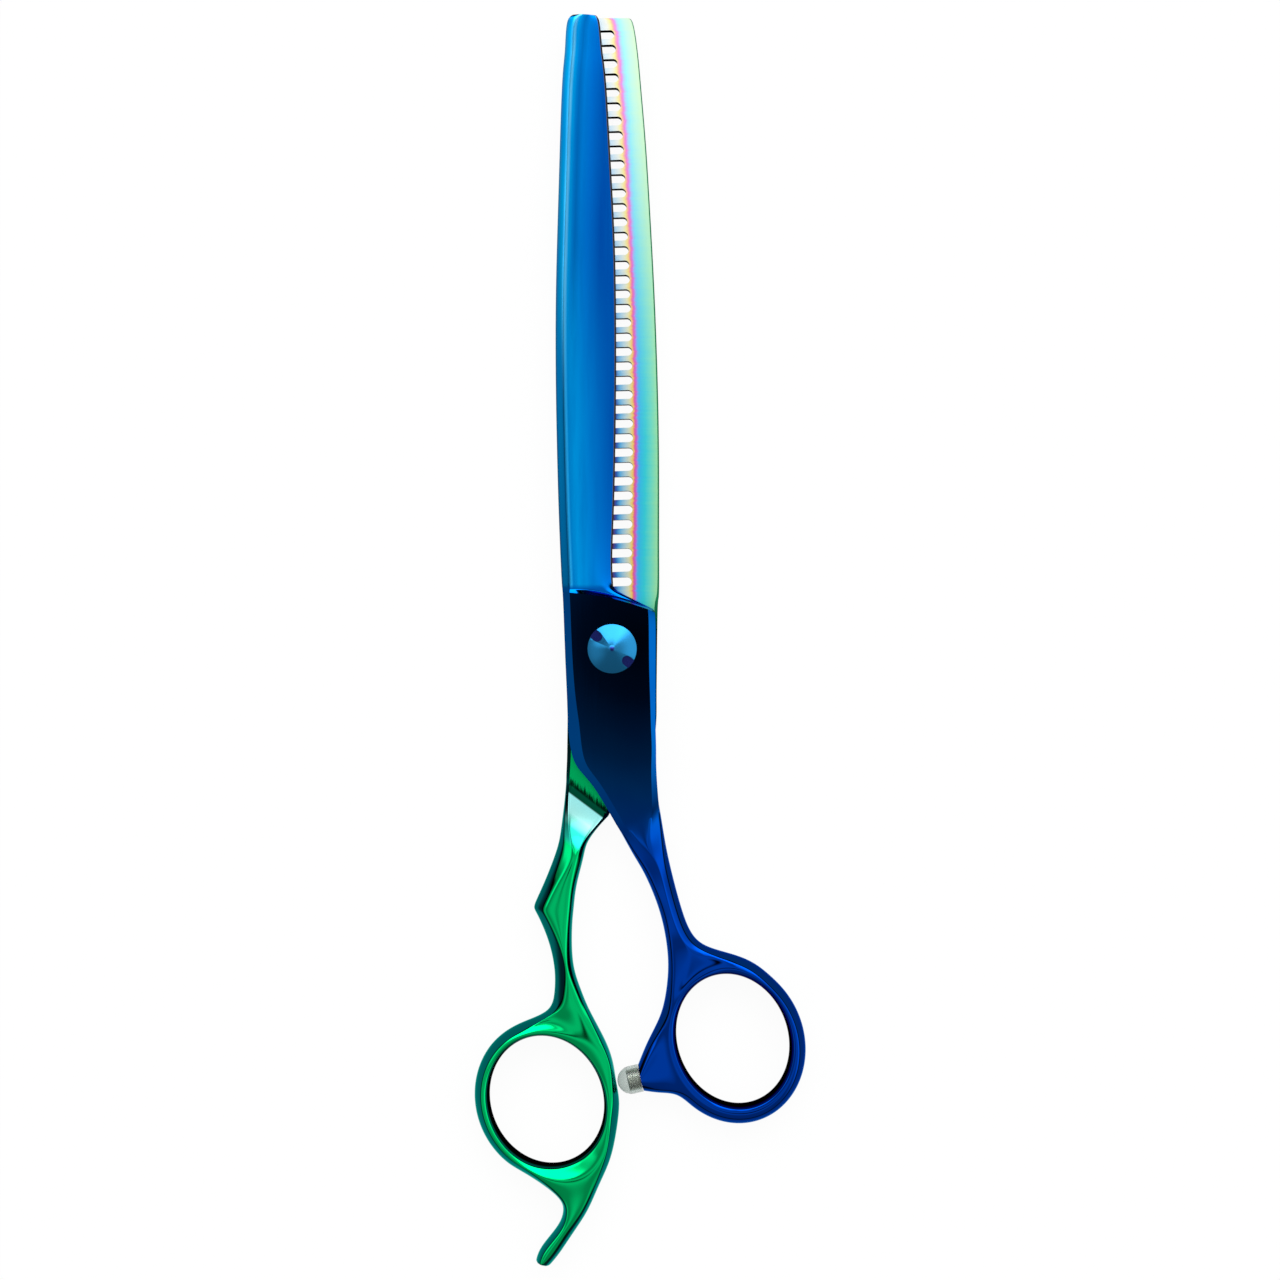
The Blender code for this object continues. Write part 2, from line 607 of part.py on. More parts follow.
def make_slot_cutter(blade):
    """Row of slots between the teeth, with a notch in each tooth tip."""
    heights = [chord[0][1] for chord in reversed(blade)]
    tips = [chord[0][0] for chord in reversed(blade)]
    spines = [chord[1][0] for chord in reversed(blade)]
    rise = math.tan(math.radians(SLOT_TILT))
    mesh = bmesh.new()
    count = int((BLADE_TIP - TIP_BRIDGE - FIRST_SLOT - SLOT_WIDTH / 2) / TOOTH_PITCH) + 1
    low = COMB_RIDE - COMB_THICKNESS_HEEL - OVERCUT
    high = COMB_RIDE + OVERCUT
    for slot in range(count):
        y = FIRST_SLOT + slot * TOOTH_PITCH
        share = (y - BLADE_HEEL) / (BLADE_TIP - BLADE_HEEL)
        back = COMB_BACK_HEEL + (COMB_BACK_TIP - COMB_BACK_HEEL) * share
        root = np.interp(y, heights, spines) - back
        mouth = np.interp(y, heights, tips) - OVERCUT
        add_prism(mesh, slot_outline((root, y), (mouth, y - (root - mouth) * rise), SLOT_WIDTH), low, high)
        if slot:
            middle = y - TOOTH_PITCH / 2 - (root - mouth) * rise
            tip = np.interp(middle, heights, tips)
            add_prism(mesh, ((tip + NOTCH_DEPTH, middle), (tip - NOTCH_DEPTH, middle + NOTCH_WIDTH),
                             (tip - NOTCH_DEPTH, middle - NOTCH_WIDTH)), low, high)
    return new_object("slot_cutter", mesh, None)


def nut_barrel():
    """Outer radius of the nut's barrel."""
    return SCREW_RADIUS + TURN_GAP + NUT_WALL


def nut_flange():
    """Outer radius of the nut's flange."""
    return nut_barrel() + NUT_FLANGE_WIDTH


def make_pivot_screw(material):
    """Tension screw: plain shank under a conical head with two key slots."""
    top = BOSS_TOP + HEAD_RISE
    under = top - HEAD_RIM
    end = NUT_FLOOR + SEAT_GAP
    point = top + HEAD_CONE * (1 - HEAD_POINT / HEAD_RADIUS)
    screw = turned("pivot_screw", (
        (0.0, (point + top + HEAD_CONE) / 2), (HEAD_POINT, point), (HEAD_RADIUS, top), (HEAD_RADIUS, under),
        (SCREW_RADIUS, under), (SCREW_RADIUS, end), (0.0, end)), material)
    mesh = bmesh.new()
    for turn in (KEY_SLOT_ANGLE, KEY_SLOT_ANGLE + 180):
        out = direction(turn)
        inner = out * (HEAD_RADIUS - KEY_SLOT_LENGTH)
        outer = out * (HEAD_RADIUS + OVERCUT)
        outline = slot_outline(inner, outer, KEY_SLOT_WIDTH)
        add_prism(mesh, outline, under + KEY_SLOT_FLOOR, top + HEAD_CONE + OVERCUT)
    cut(screw, new_object("key_slot_cutter", mesh, None))
    return screw


def washer(name, inner, outer, bottom, top, material):
    """Flat ring."""
    return turned(name, ((outer, top), (outer, bottom), (inner, bottom), (inner, top)), material)


def make_pivot_stack(steel, nylon, bronze):
    """Washers, bush and nut on the screw."""
    bore = SCREW_RADIUS + TURN_GAP
    outer = HEAD_RADIUS
    seat = counterbore_floor() + SEAT_GAP
    thrust = washer("thrust_washer", bore, outer, seat, seat + THRUST_THICKNESS, nylon)
    low = seat + THRUST_THICKNESS + SEAT_GAP
    high = low + SPRING_DISH
    spring = turned("spring_washer", (
        (bore, high + SPRING_THICKNESS), (outer, low + SPRING_THICKNESS), (outer, low), (bore, high)), steel)
    washer_half = RIDE_WASHER_THICKNESS / 2
    ride = washer("ride_washer", bore, bore + RIDE_WASHER_WIDTH, PARTING - washer_half,
                  PARTING + washer_half, nylon)
    bush = washer("pivot_bush", bore, bore + BUSH_WALL, PARTING + washer_half + SEAT_GAP,
                  counterbore_floor(), bronze)
    nut_top = PARTING - washer_half - SEAT_GAP
    nut = turned("pivot_nut", (
        (0.0, NUT_FLOOR), (bore, NUT_FLOOR), (bore, nut_top), (nut_barrel(), nut_top),
        (nut_barrel(), NUT_FLANGE_THICKNESS), (nut_flange(), NUT_FLANGE_THICKNESS), (nut_flange(), 0.0),
        (0.0, 0.0)), steel)
    return thrust, spring, ride, bush, nut


def make_bumper(rubber, steel):
    """Clear rubber dome on a slotted stud that is screwed into the stop tang."""
    wall = STUD_HEAD_RADIUS + SEAT_GAP
    dome = BUMPER_LENGTH - BUMPER_RADIUS
    profile = [(0.0, BUMPER_LENGTH)]
    for step in range(1, DOME_STEPS + 1):
        turn = math.pi / 2 * step / DOME_STEPS
        profile.append((BUMPER_RADIUS * math.sin(turn), dome + BUMPER_RADIUS * math.cos(turn)))
    profile += [(BUMPER_RADIUS, 0.0), (wall, 0.0), (wall, STUD_HEAD_LENGTH + SEAT_GAP),
                (0.0, STUD_HEAD_LENGTH + SEAT_GAP)]
    bumper = turned("bumper_cap", profile, rubber)
    place_on_bumper_axis(bumper)
    stud = turned("bumper_stud", (
        (0.0, STUD_HEAD_LENGTH), (STUD_HEAD_RADIUS, STUD_HEAD_LENGTH), (STUD_HEAD_RADIUS, 0.0),
        (STUD_RADIUS, 0.0), (STUD_RADIUS, -STUD_THREAD_LENGTH), (0.0, -STUD_THREAD_LENGTH)), steel)
    place_on_bumper_axis(stud)
    mesh = bmesh.new()
    reach = STUD_HEAD_RADIUS + OVERCUT
    half = STUD_SLOT_WIDTH / 2
    add_prism(mesh, ((-reach, -half), (reach, -half), (reach, half), (-reach, half)),
              STUD_HEAD_LENGTH - STUD_SLOT_DEPTH, STUD_HEAD_LENGTH + OVERCUT)
    cutter = new_object("stud_slot_cutter", mesh, None)
    place_on_bumper_axis(cutter)
    cut(stud, cutter)
    return bumper, stud


def main():
    """Build the shears."""
    for thing in list(bpy.data.objects):
        bpy.data.objects.remove(thing, do_unlink=True)
    make_plain_blade(new_material("blue_coated_steel", (0.0, 0.12, 0.5), 0.15, 1.0))
    make_comb_blade(new_material("green_coated_steel", (0.0, 0.5, 0.25), 0.15, 1.0))
    make_pivot_screw(new_material("turned_steel", (0.15, 0.5, 0.7), 0.25, 1.0))
    bare_steel = new_material("bare_steel", (0.6, 0.6, 0.6), 0.3, 1.0)
    nylon = new_material("nylon", (0.85, 0.83, 0.78), 0.5, 0.0)
    bronze = new_material("bronze", (0.6, 0.4, 0.2), 0.35, 1.0)
    make_pivot_stack(bare_steel, nylon, bronze)
    make_bumper(new_material("clear_rubber", (0.6, 0.65, 0.62), 0.3, 0.0), bare_steel)


main()
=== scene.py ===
# %% [markdown]
# # Thinning shears
# Two forged steel halves turn on a tension screw. The front half is a plain blue blade, and the
# half behind it is a comb whose coating runs from green into rainbow tints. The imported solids
# give every place and size. This script gives the polished surfaces, the finishes and the light.

# %% Load the frame
import math
from collections import namedtuple

import bmesh
import bpy
import numpy as np
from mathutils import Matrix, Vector


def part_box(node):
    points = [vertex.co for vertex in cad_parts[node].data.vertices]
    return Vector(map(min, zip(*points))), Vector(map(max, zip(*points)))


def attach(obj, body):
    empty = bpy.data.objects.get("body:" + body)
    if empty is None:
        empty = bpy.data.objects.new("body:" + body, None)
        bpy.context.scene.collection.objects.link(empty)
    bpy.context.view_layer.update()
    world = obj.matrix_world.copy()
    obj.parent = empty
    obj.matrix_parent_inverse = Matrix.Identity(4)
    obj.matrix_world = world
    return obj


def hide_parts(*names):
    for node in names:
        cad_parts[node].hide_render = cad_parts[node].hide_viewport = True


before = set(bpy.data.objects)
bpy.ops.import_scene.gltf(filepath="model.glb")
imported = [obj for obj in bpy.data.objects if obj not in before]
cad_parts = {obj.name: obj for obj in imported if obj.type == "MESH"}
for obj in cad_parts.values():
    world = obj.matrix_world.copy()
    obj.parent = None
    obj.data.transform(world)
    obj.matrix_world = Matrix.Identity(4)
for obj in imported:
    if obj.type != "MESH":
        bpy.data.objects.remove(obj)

MM = 0.001
scene = bpy.context.scene
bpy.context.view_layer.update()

# %% [markdown]
# ## Camera
# The shears were photographed from straight above, so the camera looks down the pivot's own
# direction. One pixel of the square picture is a known length at the plane where the halves part,
# which fixes the lens once the height is chosen. A camera 430 mm up shows the walls of the outer
# slots and of the rings as the picture does.

# %% Camera
PICTURE_SIDE = 1280                 # pixels
PIXEL = 0.176 * MM                  # real size of a pixel at the parting plane
PIVOT_PIXEL = (612.3, 648.7)
CAMERA_HEIGHT = 430 * MM            # above the parting plane
SENSOR = 36.0

parting_height = sum(corner.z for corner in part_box("ride_washer")) / 2
camera = bpy.data.objects.new("camera", bpy.data.cameras.new("camera"))
scene.collection.objects.link(camera)
camera.location = ((PICTURE_SIDE / 2 - PIVOT_PIXEL[0]) * PIXEL,
                   (PIVOT_PIXEL[1] - PICTURE_SIDE / 2) * PIXEL, parting_height + CAMERA_HEIGHT)
camera.data.sensor_width = SENSOR
camera.data.lens = SENSOR * CAMERA_HEIGHT / (PICTURE_SIDE * PIXEL)
scene.camera = camera
scene.view_settings.view_transform = "Standard"
print("lens, mm:", round(camera.data.lens, 1))

# %% [markdown]
# ## Levels
# The halves meet at the ride washer. Each half's flat inner face lies a little to its own side of
# the parting plane, and the boss of the plain half ends at the top of its solid. Lengths in this
# script are millimetres, and become metres when a vertex is made.

# %% Levels
RIDE_GAP = 0.2                      # air between the two inner faces

PARTING = parting_height / MM
PLAIN_RIDE = PARTING + RIDE_GAP / 2
COMB_RIDE = PARTING - RIDE_GAP / 2
BOSS_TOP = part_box("plain_blade")[1].z / MM
BLADE_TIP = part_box("plain_blade")[1].y / MM
BLADE_HEEL = 11.0
BLADE_LENGTH = BLADE_TIP - BLADE_HEEL
print("parting, boss, tip:", round(PARTING, 2), round(BOSS_TOP, 2), round(BLADE_TIP, 2))

# %% [markdown]
# ## Sections and lofts
# A forged half could be sculpted by hand or cut from a block. Here it is a loft: a closed section
# is set at each chord of the outline, the sections are joined by quads, and a subdivision surface
# rounds what isn't creased. That keeps blades crisp and handles soft in one body. Smoothing pulls a
# point towards its neighbours, so the control points are first solved for a curve that passes
# through the outline.

# %% Sections and lofts
SPANS = 4                           # quads across the top of a section
SIDE_RAILS = (0, SPANS + 2)
TOP_RAILS = (1, 2, 3, 4, SPANS + 1)
FLOOR_CORNERS = (2 * SPANS + 3, SPANS + 3)
CUTTING_SIDE = (SPANS, SPANS + 3)
SOFT_CREASE = 0.5
HARD_CREASE = 1.0

Profile = namedtuple("Profile", (
    "edge", "edge_inset",           # height of the outer edges of the bevels, and how far they lie in
    "face", "face_inset", "ridge",  # the same for the face between the bevels, and its width on a handle
    "middle", "side",               # height of the middle of the face, and of the sides
    "floor", "floor_inset", "belly", "roundness",
    "creases",                      # sharpness of the top rails from left to right
))


def both(value):
    """The same value on the left and on the right."""
    return np.array((value, value), dtype=float)


def ends(left, right):
    """A value on the left and one on the right."""
    return np.array((left, right), dtype=float)


def between(pair, share):
    """Value part of the way from the tip's to the heel's."""
    return pair[0] + (pair[1] - pair[0]) * share


def through(points, closed=False):
    """Control points whose smooth curve passes through the given points."""
    points = np.array(points, dtype=float)
    count = len(points)
    weights = np.eye(count) * 4 / 6
    for row in range(count):
        weights[row, (row - 1) % count] += 1 / 6
        weights[row, (row + 1) % count] += 1 / 6
    if not closed:
        weights[0] = np.eye(count)[0]
        weights[-1] = np.eye(count)[-1]
    return np.linalg.solve(weights, points)


def through_corners(points, corners):
    """Control points of a curve that turns sharply at some of its points."""
    solved = np.array(points, dtype=float)
    stops = [0, *corners, len(points) - 1]
    for start, end in zip(stops, stops[1:]):
        solved[start:end + 1] = through(points[start:end + 1])
    return solved


def section(left, right, profile):
    """Points round a section: left side, top, right side, then back along the floor."""
    across = (right - left) / np.linalg.norm(right - left)
    push = (profile.edge_inset + profile.floor_inset) / 4 * profile.roundness
    face_right = right - across * profile.face_inset[1]
    face_left = face_right - across * profile.ridge
    if profile.ridge == 0:
        face_left = left + across * profile.face_inset[0]
    plan = (left - across * push[0], left + across * profile.edge_inset[0], face_left,
            (face_left + face_right) / 2, face_right, right - across * profile.edge_inset[1],
            right + across * push[1])
    heights = (profile.side[0], profile.edge[0], profile.face[0], profile.middle, profile.face[1],
               profile.edge[1], profile.side[1])
    points = [(*place, height) for place, height in zip(plan, heights)]
    start = right - across * profile.floor_inset[1]
    end = left + across * profile.floor_inset[0]
    for step in range(SPANS + 1):
        share = step / SPANS
        height = profile.floor[1] + (profile.floor[0] - profile.floor[1]) * share
        points.append((*(start + (end - start) * share), height - 4 * profile.belly * share * (1 - share)))
    return points


def new_vertices(mesh, points):
    """Vertices at points given in millimetres."""
    return [mesh.verts.new(Vector(point) * MM) for point in points]


def crease(mesh, start, end, weight):
    """Sharpen the edge between two vertices. A hard edge is also shaded as an edge."""
    edge = mesh.edges.get((start, end))
    edge[mesh.edges.layers.float["crease_edge"]] = weight
    edge.smooth = bool(weight < HARD_CREASE)


def crease_loop(mesh, loop, weight, first=0, last=-1):
    """Sharpen the edges round a section, or from one rail to another."""
    for i in range(first, last % len(loop)):
        crease(mesh, loop[i], loop[i + 1], weight)
    if (first, last) == (0, -1):
        crease(mesh, loop[-1], loop[0], weight)


def cap(mesh, loop):
    """Grid of quads that closes the end of a strip."""
    top = loop[1:SPANS + 2]
    floor = loop[:SPANS + 2:-1]
    inside = [mesh.verts.new((top[i].co + floor[i].co) / 2) for i in range(1, SPANS)]
    middle = [loop[0], *inside, loop[SPANS + 2]]
    for i in range(SPANS):
        mesh.faces.new((top[i], top[i + 1], middle[i + 1], middle[i]))
        mesh.faces.new((middle[i], middle[i + 1], floor[i + 1], floor[i]))


def strip(mesh, chords, profiles, join, corners=()):
    """Blade or handle with a closed first end that runs into an opening in a ring."""
    lefts = through_corners([chord[0] for chord in chords], corners)
    rights = through_corners([chord[1] for chord in chords], corners)
    loops = [new_vertices(mesh, section(*parts)) for parts in zip(lefts, rights, profiles)]
    cap(mesh, loops[0])
    for i, (near, far) in enumerate(zip(loops, loops[1:] + [join])):
        for a in range(len(near)):
            b = (a + 1) % len(near)
            mesh.faces.new((near[a], near[b], far[b], far[a]))
        here = profiles[i]
        after = profiles[min(i + 1, len(profiles) - 1)]
        hard = here.roundness == 0 and after.roundness == 0 and far is not join
        for rail, weight in zip(TOP_RAILS, (here.creases + after.creases) / 2):
            crease(mesh, near[rail], far[rail], weight)
        for rail in FLOOR_CORNERS:
            crease(mesh, near[rail], far[rail], HARD_CREASE if hard else SOFT_CREASE)
        for rail in SIDE_RAILS:
            crease(mesh, near[rail], far[rail], HARD_CREASE if hard else 0.0)
    return loops


# %% [markdown]
# ## Finger rings
# Each ring is a tilted oval hole in a band of changing width. Its section has eight rails: two
# sides, four shoulders and two crowns. Where a handle, a tang or a finger rest leaves the band,
# the outer faces stay open and their edge is handed back, so the strip is stitched to the ring
# with no seam, as the forging has none.

# %% Finger rings
RING_TILT = 110.0                   # long axis of both holes, degrees from +X
RING_STATIONS = 24
OUTER_SHOULDER = 1.2
INNER_SHOULDER = 0.55
SHOULDER_RISE = 2.75                # shoulders above the middle of the ring
CROWN_RISE = 3.05                   # crown control points; smoothing brings them down

Ring = namedtuple("Ring", "centre long short band swing widest swells scoops")
# A scoop changes a ring's section round an angle: it narrows the outer shoulder, moves the crown
# outwards, and lifts the outer shoulder, the crown and the inner shoulder.
Scoop = namedtuple("Scoop", "angle width edge shift outer crown inner")


def direction(degrees):
    """Unit vector in the plane."""
    return np.array((math.cos(math.radians(degrees)), math.sin(math.radians(degrees))))


def hole_radius(ring, degrees):
    """Distance from a ring's centre to the edge of its hole."""
    along, across = direction(degrees - RING_TILT)
    return ring.long * ring.short / math.hypot(ring.short * along, ring.long * across)


def nearness(degrees, centre, width):
    """How much a local form counts at an angle: one at its centre, nothing past its width."""
    away = abs((degrees - centre + 180) % 360 - 180)
    return math.cos(math.pi / 2 * min(away / width, 1.0)) ** 2


def outer_radius(ring, degrees):
    """Distance from a ring's centre to its outer edge."""
    radius = hole_radius(ring, degrees) + ring.band
    radius += ring.swing * math.cos(math.radians(degrees - ring.widest))
    for centre, width, height in ring.swells:
        radius += height * nearness(degrees, centre, width)
    return radius


def ring_section(ring, degrees):
    """Radius and height of the eight rails at one station."""
    inner = hole_radius(ring, degrees)
    outer = outer_radius(ring, degrees)
    bevel = OUTER_SHOULDER
    shift = 0.0
    heights = np.array((SHOULDER_RISE, CROWN_RISE, SHOULDER_RISE))
    floors = -heights
    for scoop in ring.scoops:
        amount = nearness(degrees, scoop.angle, scoop.width)
        bevel -= scoop.edge * amount
        shift += scoop.shift * amount
        heights = heights + amount * np.array((scoop.outer, scoop.crown, scoop.inner))
    shoulder_in = inner + INNER_SHOULDER
    shoulder_out = outer - bevel
    radii = (shoulder_out, (shoulder_in + shoulder_out) / 2 + shift, shoulder_in)
    return ((outer + bevel / 2, 0.0), *zip(radii, heights), (inner - INNER_SHOULDER / 2, 0.0),
            *reversed(list(zip(radii, floors))))


def ring_band(mesh, ring, joins):
    """Ring with openings in its outer side. Returns the edge of each opening."""
    step = 360 / RING_STATIONS
    joins = [[round(degrees / step) for degrees in join] for join in joins]
    rails = [[] for _ in range(8)]
    for station in range(RING_STATIONS):
        for rail, (radius, height) in zip(rails, ring_section(ring, station * step)):
            rail.append((*(ring.centre + direction(station * step) * radius), PARTING + height))
    rails = [new_vertices(mesh, through(rail, closed=True)) for rail in rails]
    outer, top, floor = rails[0], rails[1], rails[7]
    open_stations = set()
    edges = []
    for stations in joins:
        open_stations.update(min(pair) for pair in zip(stations, stations[1:]))
        edges.append([outer[stations[0]], *(top[s] for s in stations), outer[stations[-1]],
                      *(floor[s] for s in reversed(stations))])
    for s in range(RING_STATIONS):
        after = (s + 1) % RING_STATIONS
        for side in range(8):
            if s not in open_stations or side not in (0, 7):
                a, b = rails[side], rails[(side + 1) % 8]
                mesh.faces.new((a[s], b[s], b[after], a[after]))
        for rail in (1, 3, 5, 7):
            if rail in (3, 5) or s not in open_stations:
                crease(mesh, rails[rail][s], rails[rail][after], SOFT_CREASE)
    return edges


# %% [markdown]
# ## From control cage to finished mesh
# Modifiers are handy while a shape grows, but a finished piece has to be a plain mesh. The
# evaluated object is copied into a new mesh, so the subdivision and the cuts are baked in. The hard
# edges of the cage and the edges that the cuts leave are shaded sharp, so that flats meet in crisp
# lines.

# %% From control cage to finished mesh
SMOOTHING = 3                       # subdivision steps
CUT_ANGLE = 70.0                    # degrees between faces that meet in a cut edge
ROUND_STEPS = 160
OVERCUT = 1.0                       # how far a cutter runs past what it cuts
MERGE_DISTANCE = 1e-7


def new_cage():
    """Empty mesh that can hold creased edges."""
    mesh = bmesh.new()
    mesh.edges.layers.float.new("crease_edge")
    return mesh


def new_piece(name, mesh):
    """Object made of an edited mesh, with its faces pointing out."""
    bmesh.ops.recalc_face_normals(mesh, faces=mesh.faces)
    data = bpy.data.meshes.new(name)
    mesh.to_mesh(data)
    mesh.free()
    piece = bpy.data.objects.new(name, data)
    scene.collection.objects.link(piece)
    return piece


def subdivide(piece, levels=SMOOTHING):
    """Round a cage with a subdivision surface."""
    modifier = piece.modifiers.new("smooth", "SUBSURF")
    modifier.levels = levels
    modifier.render_levels = levels


def cut(piece, cutter):
    """Take one closed shape out of another."""
    modifier = piece.modifiers.new(cutter.name, "BOOLEAN")
    modifier.operation = "DIFFERENCE"
    modifier.solver = "EXACT"
    modifier.object = cutter


def bake(piece, *cutters):
    """Turn a piece's modifiers into a plain mesh, and remove what cut it."""
    bpy.context.view_layer.update()
    evaluated = piece.evaluated_get(bpy.context.evaluated_depsgraph_get())
    data = bpy.data.meshes.new_from_object(evaluated)
    piece.modifiers.clear()
    piece.data = data
    hard = np.array([edge.use_edge_sharp for edge in data.edges])
    data.shade_smooth()
    data.set_sharp_from_angle(angle=math.radians(CUT_ANGLE))
    for edge in np.array(data.edges)[hard]:
        edge.use_edge_sharp = True
    for cutter in cutters:
        bpy.data.objects.remove(cutter)
    print(piece.name, len(data.polygons), "faces,", hard.sum(), "hard edges")
    return piece


def turned(name, profile, steps=ROUND_STEPS):
    """Solid of revolution about Z, from radius and height points round its section."""
    mesh = bmesh.new()
    vertices = new_vertices(mesh, [(radius, 0.0, z) for radius, z in profile])
    edges = [mesh.edges.new((vertices[i - 1], vertices[i])) for i in range(1, len(vertices))]
    if profile[0][0] > 0 or profile[-1][0] > 0:
        edges.append(mesh.edges.new((vertices[-1], vertices[0])))
    bmesh.ops.spin(mesh, geom=vertices + edges, axis=(0, 0, 1), cent=(0, 0, 0), dvec=(0, 0, 0),
                   angle=2 * math.pi, steps=steps, use_merge=True)
    bmesh.ops.remove_doubles(mesh, verts=mesh.verts, dist=MERGE_DISTANCE)
    return new_piece(name, mesh)


def add_prism(mesh, outline, bottom, top):
    """Upright prism on an outline of plane points."""
    low = new_vertices(mesh, [(*point, bottom) for point in outline])
    high = new_vertices(mesh, [(*point, top) for point in outline])
    mesh.faces.new(low)
    mesh.faces.new(high)
    for i in range(len(outline)):
        mesh.faces.new((low[i - 1], low[i], high[i], high[i - 1]))


# %% [markdown]
# ## Plain half
# The cutting blade is ground with a narrow facet along the spine, a broad face that falls towards
# the edge and a fine bevel at the edge itself. Behind the blade the metal steps up to a flat boss,
# whose chamfers close in on it and end it in a point. There a ridge starts that runs down the
# handle, with a broad face on its left and a narrow one on its right.

# %% Outline of the plain half
PLAIN_BLADE = (                     # share of the blade's length, left side, right side
    (1.0, -6.9, -2.9), (0.985, -7.95, -2.2), (0.94, -8.3, -1.75), (0.9, -8.65, -1.25),
    (0.83, -9.0, -0.75), (0.73, -9.3, -0.2), (0.61, -9.65, 0.4), (0.49, -9.9, 0.65),
    (0.37, -9.9, 0.68), (0.25, -9.7, 0.55), (0.14, -9.4, 0.3), (0.05, -9.05, 0.0),
)
HEEL = ((-8.8, 11.0), (0.2, 10.45))
WALL_FOOT = ((-8.75, 10.75), (7.2, 6.95))
PLAIN_BOSS = (                      # left end, right end
    ((-8.7, 9.9), (7.45, 6.35)), ((-8.5, 6.0), (7.6, 3.6)), ((-8.2, -2.0), (7.6, -3.0)),
    ((-7.9, -9.0), (7.6, -9.5)), ((-7.7, -14.0), (7.6, -13.5)), ((-6.6, -19.8), (7.7, -17.3)),
    ((-3.4, -24.0), (7.75, -21.3)), ((0.4, -30.3), (8.1, -26.2)),
)
PLAIN_SHANK = (
    ((1.8, -32.8), (8.5, -28.8)), ((3.7, -36.2), (9.1, -32.6)), ((5.5, -39.3), (9.85, -36.6)),
    ((7.3, -43.3), (11.0, -41.4)), ((8.6, -47.2), (12.3, -46.0)), ((9.45, -51.3), (13.8, -49.7)),
    ((10.0, -56.0), (15.9, -52.4)),
)
BOSS_CHAMFERS = (                   # left and right width of the chamfers at each boss chord
    (1.3, 1.2), (1.25, 1.2), (1.25, 1.15), (1.5, 0.9), (2.2, 0.8), (1.9, 0.75), (1.3, 0.9), (1.3, 1.3),
)
WALL_SWEEP = ((0.0, 0.0), (0.0, 0.0), (-1.5, 1.6), (0.0, 0.0), (0.0, 0.0))
PLATEAU_SWEEP = ((0.0, 0.3), (0.0, 0.2), (0.0, 1.1), (0.0, 0.3), (0.0, 0.0))
PLAIN_RING = Ring(np.array((21.2, -68.6)), 11.6, 9.7, 3.0, 0.55, 255.0, ((95.0, 45.0, 0.9),),
                  (Scoop(115.0, 35.0, 0.0, 0.0, -0.25, -0.25, 0.0),))
PLAIN_SHANK_JOIN = (150, 135, 120, 105, 90)
PLAIN_TANG_JOIN = (165, 180, 195, 210, 225)


def blade_chords(rows):
    """Chords of a blade, from shares of its length."""
    chords = []
    for share, left, right in rows:
        y = BLADE_HEEL + BLADE_LENGTH * share
        chords.append(((left, y), (right, y)))
    return chords


# %% Profiles of the plain half
EDGE_LAND = 0.15
BEVEL_WIDTH = 0.25
BEVEL_RISE = 0.35
SPINE_FACET = 1.4
FACET_DROP = (0.5, 0.85)            # at the tip and at the heel
SPINE_THICKNESS = (1.1, 2.8)
SPINE_EDGE = (0.3, 1.0)             # sharpness of the facet's edge at the tip and at the heel
FACE_ARCH = (0.2, 0.3)              # bulge of the face at the tip and at the heel
WALL_FOOT_DROP = 0.9                # middle of the wall's foot below the middle of the blade's face
WALL_FILLET = 0.5
CHAMFER_SLOPE = 0.62
SHARP = np.array((1.0, 1.0, 0.0, 1.0, 1.0))
SOFT = np.array((SOFT_CREASE, 0.2, 0.2, 0.2, SOFT_CREASE))


def plain_blade_profile(step):
    """Section of the blade at a share of the way from the tip to the heel."""
    thickness = between(SPINE_THICKNESS, step)
    middle = (thickness + BEVEL_RISE) / 2 + between(FACE_ARCH, step)
    edges = ends(thickness - between(FACET_DROP, step), EDGE_LAND)
    return Profile(PLAIN_RIDE + edges, both(0.0), PLAIN_RIDE + ends(thickness, BEVEL_RISE),
                   ends(SPINE_FACET, BEVEL_WIDTH), 0.0, PLAIN_RIDE + middle, PLAIN_RIDE + edges / 2,
                   both(PLAIN_RIDE), both(0.0), 0.0, 0.0,
                   np.array((1.0, between(SPINE_EDGE, step), 0.0, 1.0, 1.0)))


def boss_profile(chamfers):
    """Section of the flat boss between two chamfers."""
    chamfers = np.array(chamfers)
    drop = BOSS_TOP - chamfers * CHAMFER_SLOPE
    return Profile(drop, both(0.0), both(BOSS_TOP), chamfers, 0.0, BOSS_TOP, (drop + PLAIN_RIDE) / 2,
                   both(PLAIN_RIDE), both(0.0), 0.0, 0.0, SHARP)


HEEL_PROFILE = plain_blade_profile(1.0)
WALL_PROFILE = HEEL_PROFILE._replace(middle=HEEL_PROFILE.middle - WALL_FOOT_DROP)
PLAIN_HANDLE = Profile(ends(5.4, 5.3), ends(0.7, 0.85), both(5.95), ends(0.0, 1.85), 0.3, 6.0,
                       both(PARTING), 2 * PARTING - both(5.45), both(1.0), 0.55, 1.0, SOFT)
NECK_POINT = PLAIN_HANDLE._replace(edge=ends(5.1, 4.9), edge_inset=ends(0.45, 0.45), face_inset=ends(0.0, 3.7),
                                   side=both(3.4), floor=both(1.2), floor_inset=both(0.7))
NECK = Profile(ends(5.2, 5.0), both(0.2), both(BOSS_TOP), ends(1.4, 1.8), 0.0, BOSS_TOP, both(4.0),
               both(2.2), both(0.3), 0.2, 0.4, SHARP)

